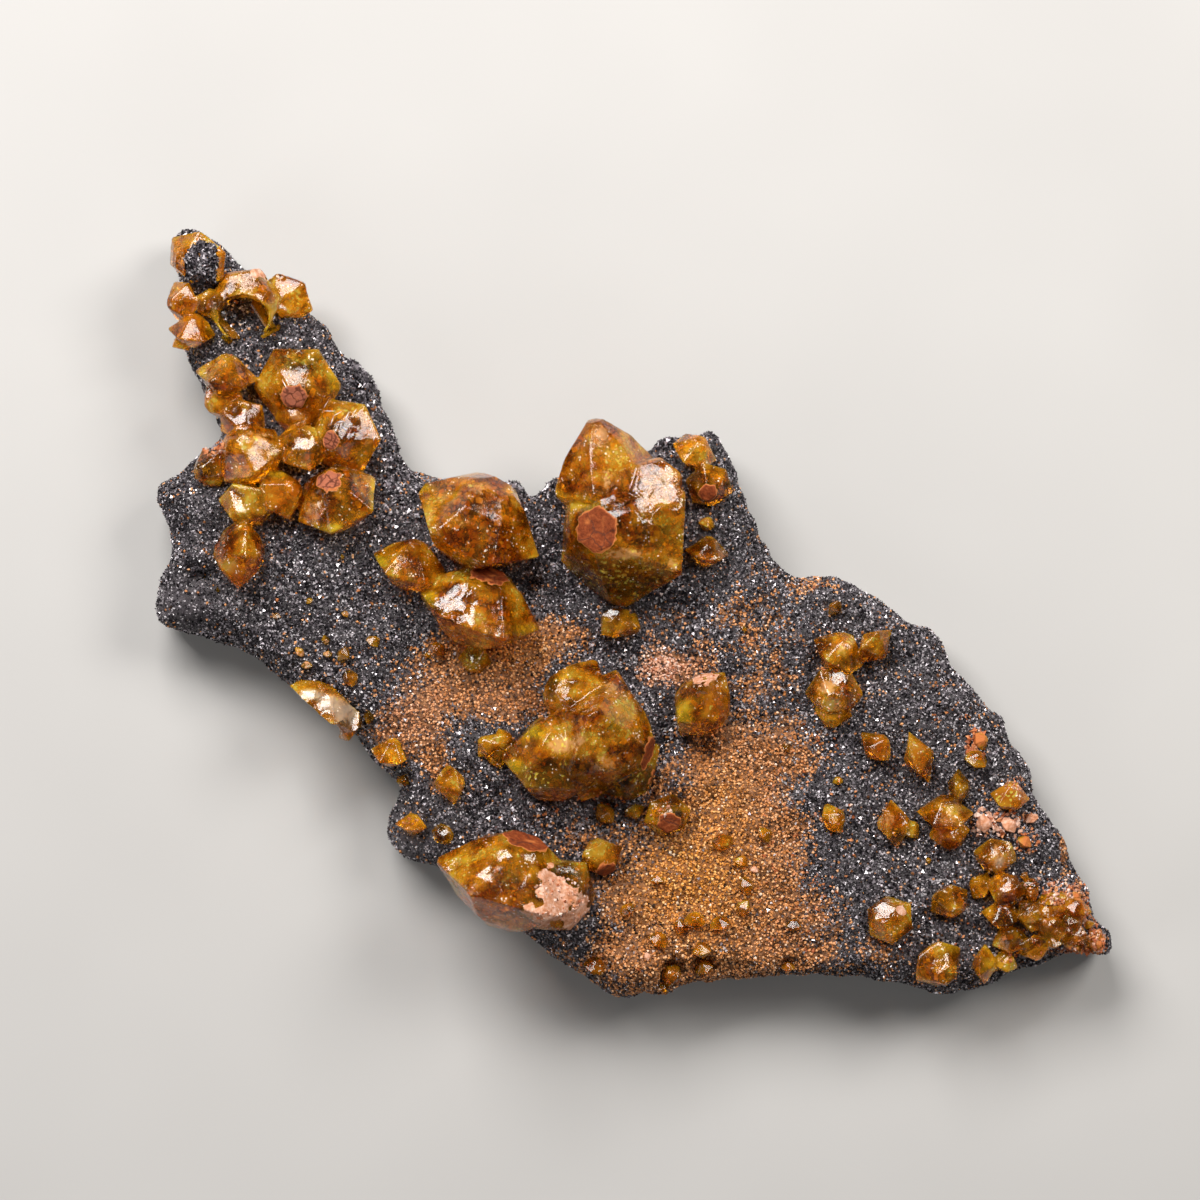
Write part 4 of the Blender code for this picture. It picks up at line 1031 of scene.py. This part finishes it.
def polish_mirrors(points, tree):
    """Cuts the faces that mirror a light to the camera, and says where they are."""
    frost = np.zeros(len(points))
    for light, faces in MIRRORS.items():
        for x, y, radius in faces:
            hit = drop(tree, x, y)[0]
            if hit is None:
                continue
            normal = unit(unit(np.array(CAMERA_AT) - hit) + unit(np.array(light) - hit))
            offset = points - hit
            away = np.linalg.norm(offset, axis=1)
            angle = np.arctan2(offset[:, 1], offset[:, 0]) + x
            edge = radius * (0.86 + 0.12 * np.cos(5 * angle) + 0.06 * np.cos(3 * angle + 1))
            height = offset @ normal + 0.1 * radius + 0.06
            cut = (away < edge) & (height > 0)
            points[cut] -= height[cut, None] * normal
            frost[cut] = 1.0
    return frost


def in_order(mesh):
    """The same mesh with its points and faces listed by place, the same in every run."""
    points, triangles = shape_of(mesh)
    order = np.lexsort(np.round(points, 5).T)
    rank = np.empty(len(order), dtype=np.int64)
    rank[order] = np.arange(len(order))
    faces = rank[triangles]
    turn = faces.argmin(axis=1)
    faces = np.stack([faces[np.arange(len(faces)), (turn + k) % 3] for k in range(3)], 1)
    return triangle_mesh(mesh.name, points[order], faces[np.lexsort(faces.T[::-1])])


def trim(points, start, end):
    """Moves what is on the line's right, seen from its start, back to it."""
    run = np.array(end) - start
    length = np.linalg.norm(run)
    along = run / length
    inward = np.array((-along[1], along[0]))
    offset = points[:, :2] - start
    outside = np.minimum(offset @ inward, 0) * smoothstep(length - offset @ along, -1.0, 0.0)
    points[:, :2] -= outside[:, None] * inward


def add_crystals(name, mesh, attributes, looks, replaced=None, smooth=False):
    """Adds clear crystals. Faces that a crust or red end reaches show it."""
    for key, values in attributes.items():
        set_attribute(mesh, key, values)
    add_piece(name, mesh, looks["amber"], replaced, smooth)
    reached = np.maximum(attributes["red"], attributes["pink"]) > 0
    if reached.any():
        mesh.materials.append(looks["crusted"])
        shown = reached[triangles_of(mesh)].any(axis=1)
        mesh.polygons.foreach_set("material_index", shown.astype(np.int32))


def dress_crystals(name, node, looks):
    """Adds a solid's finer mesh. Returns its points and triangles, and its flakes."""
    mesh = in_order(remeshed(node, BIG_VOXEL if name in BIG_NODES else SMALL_VOXEL))
    points = points_of(mesh)
    if name in WIDENED:
        middle = (points.min(axis=0) + points.max(axis=0)) / 2
        points = middle + (points - middle) * WIDENED[name]
    if name in TRIMMED:
        trim(points, *TRIMMED[name])
    set_points(mesh, points)
    normals, triangles = normals_of(mesh), triangles_of(mesh)
    frost = polish_mirrors(points, tree_of(points, triangles))
    push = mosaic(points, normals, 41) + relief(points, CRYSTAL_RELIEF, 50)
    push += crust_on(name, points, normals)[1]
    points += normals * push[:, None]
    set_points(mesh, points)
    frosted = tree_of(points, triangles[frost[triangles].min(axis=1) > 0])
    mesh = modified(mesh, "DECIMATE", ratio=CRYSTAL_FACES_KEPT)
    points, normals, triangles = points_of(mesh), normals_of(mesh), triangles_of(mesh)
    tree = tree_of(points, triangles)
    add_crystals(name + "_refined", mesh, {
        "frost": [frosted.find_nearest(Vector(point), 0.15)[0] is not None for point in points],
        "thick": thickness(points, normals, tree),
        "red": redness(name, node, points),
        "pink": crust_on(name, points, normals)[0],
        **{zone: field(points, patches) for zone, patches in ZONES.items()},
    }, looks, name, smooth=True)
    if name == "crystal_tip":
        overgrow_tip(mesh, looks)
    return (points, triangles), flaws_inside(points, tree, zlib.crc32(name.encode()))


def overgrow_tip(mesh, looks):
    """Druse over one face of the crystal at the tip."""
    places, normals = sample_surface(mesh, 0.14, 15)
    centre, radii = OVERGROWN
    away = (((places[:, :2] - centre) / radii) ** 2).sum(axis=1)
    away += 0.5 * lattice_noise(places, 0.8, 71)
    keep = (away < 1) & (normals[:, 2] > 0)
    rng = np.random.default_rng(16)
    grain = rng.uniform(0.12, 0.3, keep.sum())
    add_druse("druse_on_tip", places[keep], grain, looks, rng)


def flaws_inside(points, tree, seed):
    """Places and sizes of flakes inside a crystal, clear of its faces."""
    rng = np.random.default_rng(seed)
    low, high = points.min(axis=0), points.max(axis=0)
    tries = rng.uniform(low, high, (int(np.prod(high - low) * FLAWS_PER_MM3), 3))
    sizes = spread(FLAW_RADII, rng.uniform(0, 1, len(tries)) ** 2)
    kept = []
    ways = [Vector(way) for way in ((0, 0, 1), (0, 0, -1), (1, 0, 0), (-1, 0, 0), (0, 1, 0))]
    for place, size in zip(tries, sizes):
        spot = Vector(place)
        if tree.find_nearest(spot)[3] < size * 0.8 + 0.1:
            continue
        hits = [tree.ray_cast(spot, way) for way in ways]
        if all(hit[0] is not None and hit[1].dot(way) > 0 for hit, way in zip(hits, ways)):
            kept.append((*place, size))
    return np.array(kept).reshape(-1, 4)


def add_flaws(flakes, looks):
    rng = np.random.default_rng(77)
    mesh = scattered(
        "crystal_flaws", flakes[:, :3], flakes[:, 3], rng, FLAKE, TETRAHEDRON_FACES
    )
    add_piece("crystal_flaws", mesh, looks["flaw"])


def add_crumbs(tree, looks):
    """Crumbly orange and pink crust, on whatever lies under each place."""
    rng = np.random.default_rng(91)
    places, radii, pinks = [], [], []
    for x, y, across, along, density, largest, pink in CRUMBS:
        count = int(math.pi * across * along * density)
        angle = rng.uniform(0, 2 * math.pi, count)
        away = np.sqrt(rng.uniform(0, 1.3, count))
        ways = np.stack([np.cos(angle), np.sin(angle)], 1)
        for spot in (x, y) + ways * away[:, None] * (across, along):
            hit, normal = drop(tree, *spot)
            size = spread((SMALLEST_CRUMB, largest), rng.uniform(0, 1) ** 1.3)
            if hit is not None and hit.z > 1 and normal.z > 0.1:
                places.append(hit + normal * size * 0.2)
                radii.append(size)
                pinks.append(float(rng.uniform(0, 1) < pink))
    mesh = scattered(
        "crust_crumbs", np.array(places), np.array(radii), rng, CRUMB, OCTAHEDRON_FACES
    )
    set_attribute(mesh, "flesh", np.repeat(pinks, len(CRUMB)))
    add_piece("crust_crumbs", mesh, looks["crust"])


def add_painted_glints(tree, looks):
    """Thin pale slivers on the crystals' faces: painted reflections of bright steps."""
    points, faces = [], []
    for x, y, azimuth, length in PAINTED_GLINTS:
        hit, normal = drop(tree, x, y)
        along = Matrix.Rotation(math.radians(azimuth), 3, "Z") @ Vector((1, 0, 0))
        along = (along - normal * along.dot(normal)).normalized()
        axes = np.array((along, normal.cross(along), normal))
        shape = OCTAHEDRON * (length / 2, 0.06, 0.04)
        faces.append(OCTAHEDRON_FACES + len(OCTAHEDRON) * len(points))
        points.append(shape @ axes + np.array(hit))
    mesh = triangle_mesh("crystal_painted_glints", np.concatenate(points), np.concatenate(faces))
    add_piece("crystal_painted_glints", mesh, looks["painted_glint"])


def double_pyramid(radius, flatness, cap, chance):
    """A six-sided double pyramid with blunt, bevelled ends."""
    bm = bmesh.new()
    for k in range(6):
        angle = math.radians(60 * k + chance.uniform(-6, 6))
        reach = radius * chance.uniform(0.9, 1.06)
        bm.verts.new((reach * math.cos(angle), reach * math.sin(angle), 0))
        for side in (-1, 1):
            blunt = cap * radius * chance.uniform(0.8, 1.2)
            height = side * (radius * flatness) * chance.uniform(0.97, 1.0)
            bm.verts.new((blunt * math.cos(angle), blunt * math.sin(angle), height))
    bmesh.ops.convex_hull(bm, input=bm.verts)
    bmesh.ops.dissolve_limit(bm, angle_limit=math.radians(4), verts=bm.verts, edges=bm.edges)
    bevel_edges(bm, 0.07 * radius, 0.6)
    return bm


def bevel_edges(bm, width, profile=0.0):
    edges = bm.edges[:]
    bmesh.ops.bevel(bm, geom=edges, offset=width, segments=2, affect="EDGES", profile=profile)
    bmesh.ops.triangulate(bm, faces=bm.faces)


def wall(length, thick, height):
    """A slab that is thinner and shorter at its top."""
    bm = bmesh.new()
    bmesh.ops.create_cube(bm, size=1.0)
    bmesh.ops.scale(bm, vec=(length, thick, height), verts=bm.verts)
    top = [vert for vert in bm.verts if vert.co.z > 0]
    bmesh.ops.scale(bm, vec=(0.8, 0.45, 1.0), verts=top)
    bevel_edges(bm, 0.06)
    return bm


def ground_at(tree, x, y):
    hit = drop(tree, x, y)[0]
    return hit.z if hit else 5.0


def stand(whole, bm, place, azimuth, lean, axis):
    """Adds a small solid to the whole: it leans, then turns, then moves to its place."""
    turn = Matrix.Rotation(azimuth, 4, "Z")
    tilt = Matrix.Rotation(math.radians(lean), 4, axis)
    bm.transform(Matrix.Scale(MM, 4) @ Matrix.Translation(place) @ turn @ tilt)
    part = bpy.data.meshes.new("part")
    bm.to_mesh(part)
    bm.free()
    whole.from_mesh(part)
    bpy.data.meshes.remove(part)


def dress_small_crystals(plate, dressed, looks):
    tree = tree_of(*shape_of(plate))
    whole = bmesh.new()
    for k, row in enumerate(SEEDLINGS + GRAINS + CORNER):
        x, y, radius, azimuth = row
        chance = random.Random(k)
        bm = double_pyramid(radius * 1.04, 0.66, chance.uniform(0.15, 0.4), chance)
        height = ground_at(tree, x, y) + 0.25 * radius
        if row in CORNER:
            height = ground_at(dressed, x, y) - 0.15 * radius
        stand(whole, bm, (x, y, height), math.radians(azimuth), chance.uniform(50, 70), "Y")
    for start, end, thick, height in WALLS:
        run, middle = Vector(end) - Vector(start), (Vector(start) + Vector(end)) / 2
        place = (*middle, ground_at(tree, *middle) + 0.35 * height)
        stand(whole, wall(run.length, thick, height), place, math.atan2(run.y, run.x), 25, "X")
    mesh = bpy.data.meshes.new("small_crystals")
    whole.to_mesh(mesh)
    whole.free()
    mesh = in_order(mesh)
    points = points_of(mesh)
    zones = {zone: field(points, patches) for zone, patches in ZONES.items()}
    rusty = 0.35 + 0.5 * lattice_noise(points, 1.6, 83)
    zones["russet"] = np.maximum(0.5 * zones["russet"], rusty)
    small_tree = tree_of(points, triangles_of(mesh))
    add_crystals("small_crystals", mesh, {
        "frost": np.zeros(len(points)),
        "thick": thickness(points, normals_of(mesh), small_tree),
        "red": field(points, SCORCHED), "pink": field(points, RUSTED), **zones,
    }, looks)


def set_stage(looks):
    """Floor, camera, lights and world."""
    scene = bpy.context.scene
    bpy.ops.mesh.primitive_plane_add(size=FLOOR_SIZE * MM, location=(0, 0, -FLOOR_DROP * MM))
    floor = bpy.context.object
    floor.name = "floor"
    floor.data.materials.append(looks["floor"])
    camera = bpy.data.objects.new("camera", bpy.data.cameras.new("camera"))
    camera.data.lens = CAMERA_LENS
    camera.data.clip_start = 0.01
    camera.location = Vector(CAMERA_AT) * MM
    scene.collection.objects.link(camera)
    scene.camera = camera
    for place, width, height, power, colour in LIGHTS:
        data = bpy.data.lights.new("softbox", "AREA")
        data.shape = "RECTANGLE"
        data.size, data.size_y = width * MM, height * MM
        data.energy = power
        data.color = colour
        light = bpy.data.objects.new("softbox", data)
        light.location = Vector(place) * MM
        aim = Vector(LOOK_AT) * MM - light.location
        light.rotation_euler = aim.to_track_quat("-Z", "Y").to_euler()
        scene.collection.objects.link(light)
    world = bpy.data.worlds.new("studio")
    world.use_nodes = True
    background = world.node_tree.nodes["Background"]
    background.inputs["Color"].default_value = WORLD_COLOUR
    background.inputs["Strength"].default_value = WORLD_STRENGTH
    scene.world = world
    scene.view_settings.view_transform = "Standard"
    scene.cycles.max_bounces = 9
    scene.cycles.transmission_bounces = 8
    scene.cycles.diffuse_bounces = 3
    scene.cycles.glossy_bounces = 3


def main():
    for obj in list(bpy.data.objects):
        bpy.data.objects.remove(obj, do_unlink=True)
    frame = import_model()
    looks = {
        "ore": ore_material(), "druse": druse_material(), "granule": granule_material(),
        "amber": amber_material("sturmanite"),
        "crusted": amber_material("crusted_sturmanite", crusted=True),
        "flaw": flaw_material(), "crust": crust_material(), "painted_glint": painted_glint_material(),
        "floor": floor_material(),
    }
    nodes = frame["nodes"]
    crystals = sorted(name for name in nodes if name != "matrix")
    plate = dress_plate(nodes["matrix"], looks)
    solids = joined_tree([shape_of(nodes[name].data) for name in crystals])
    cover_with_grains(plate, solids, looks)
    dressed = [dress_crystals(name, nodes[name], looks) for name in crystals]
    shapes, flaws = zip(*dressed)
    add_flaws(np.concatenate(flaws), looks)
    everything = joined_tree([shape_of(plate), *shapes])
    add_crumbs(everything, looks)
    add_painted_glints(everything, looks)
    dress_small_crystals(plate, everything, looks)
    set_stage(looks)


main()
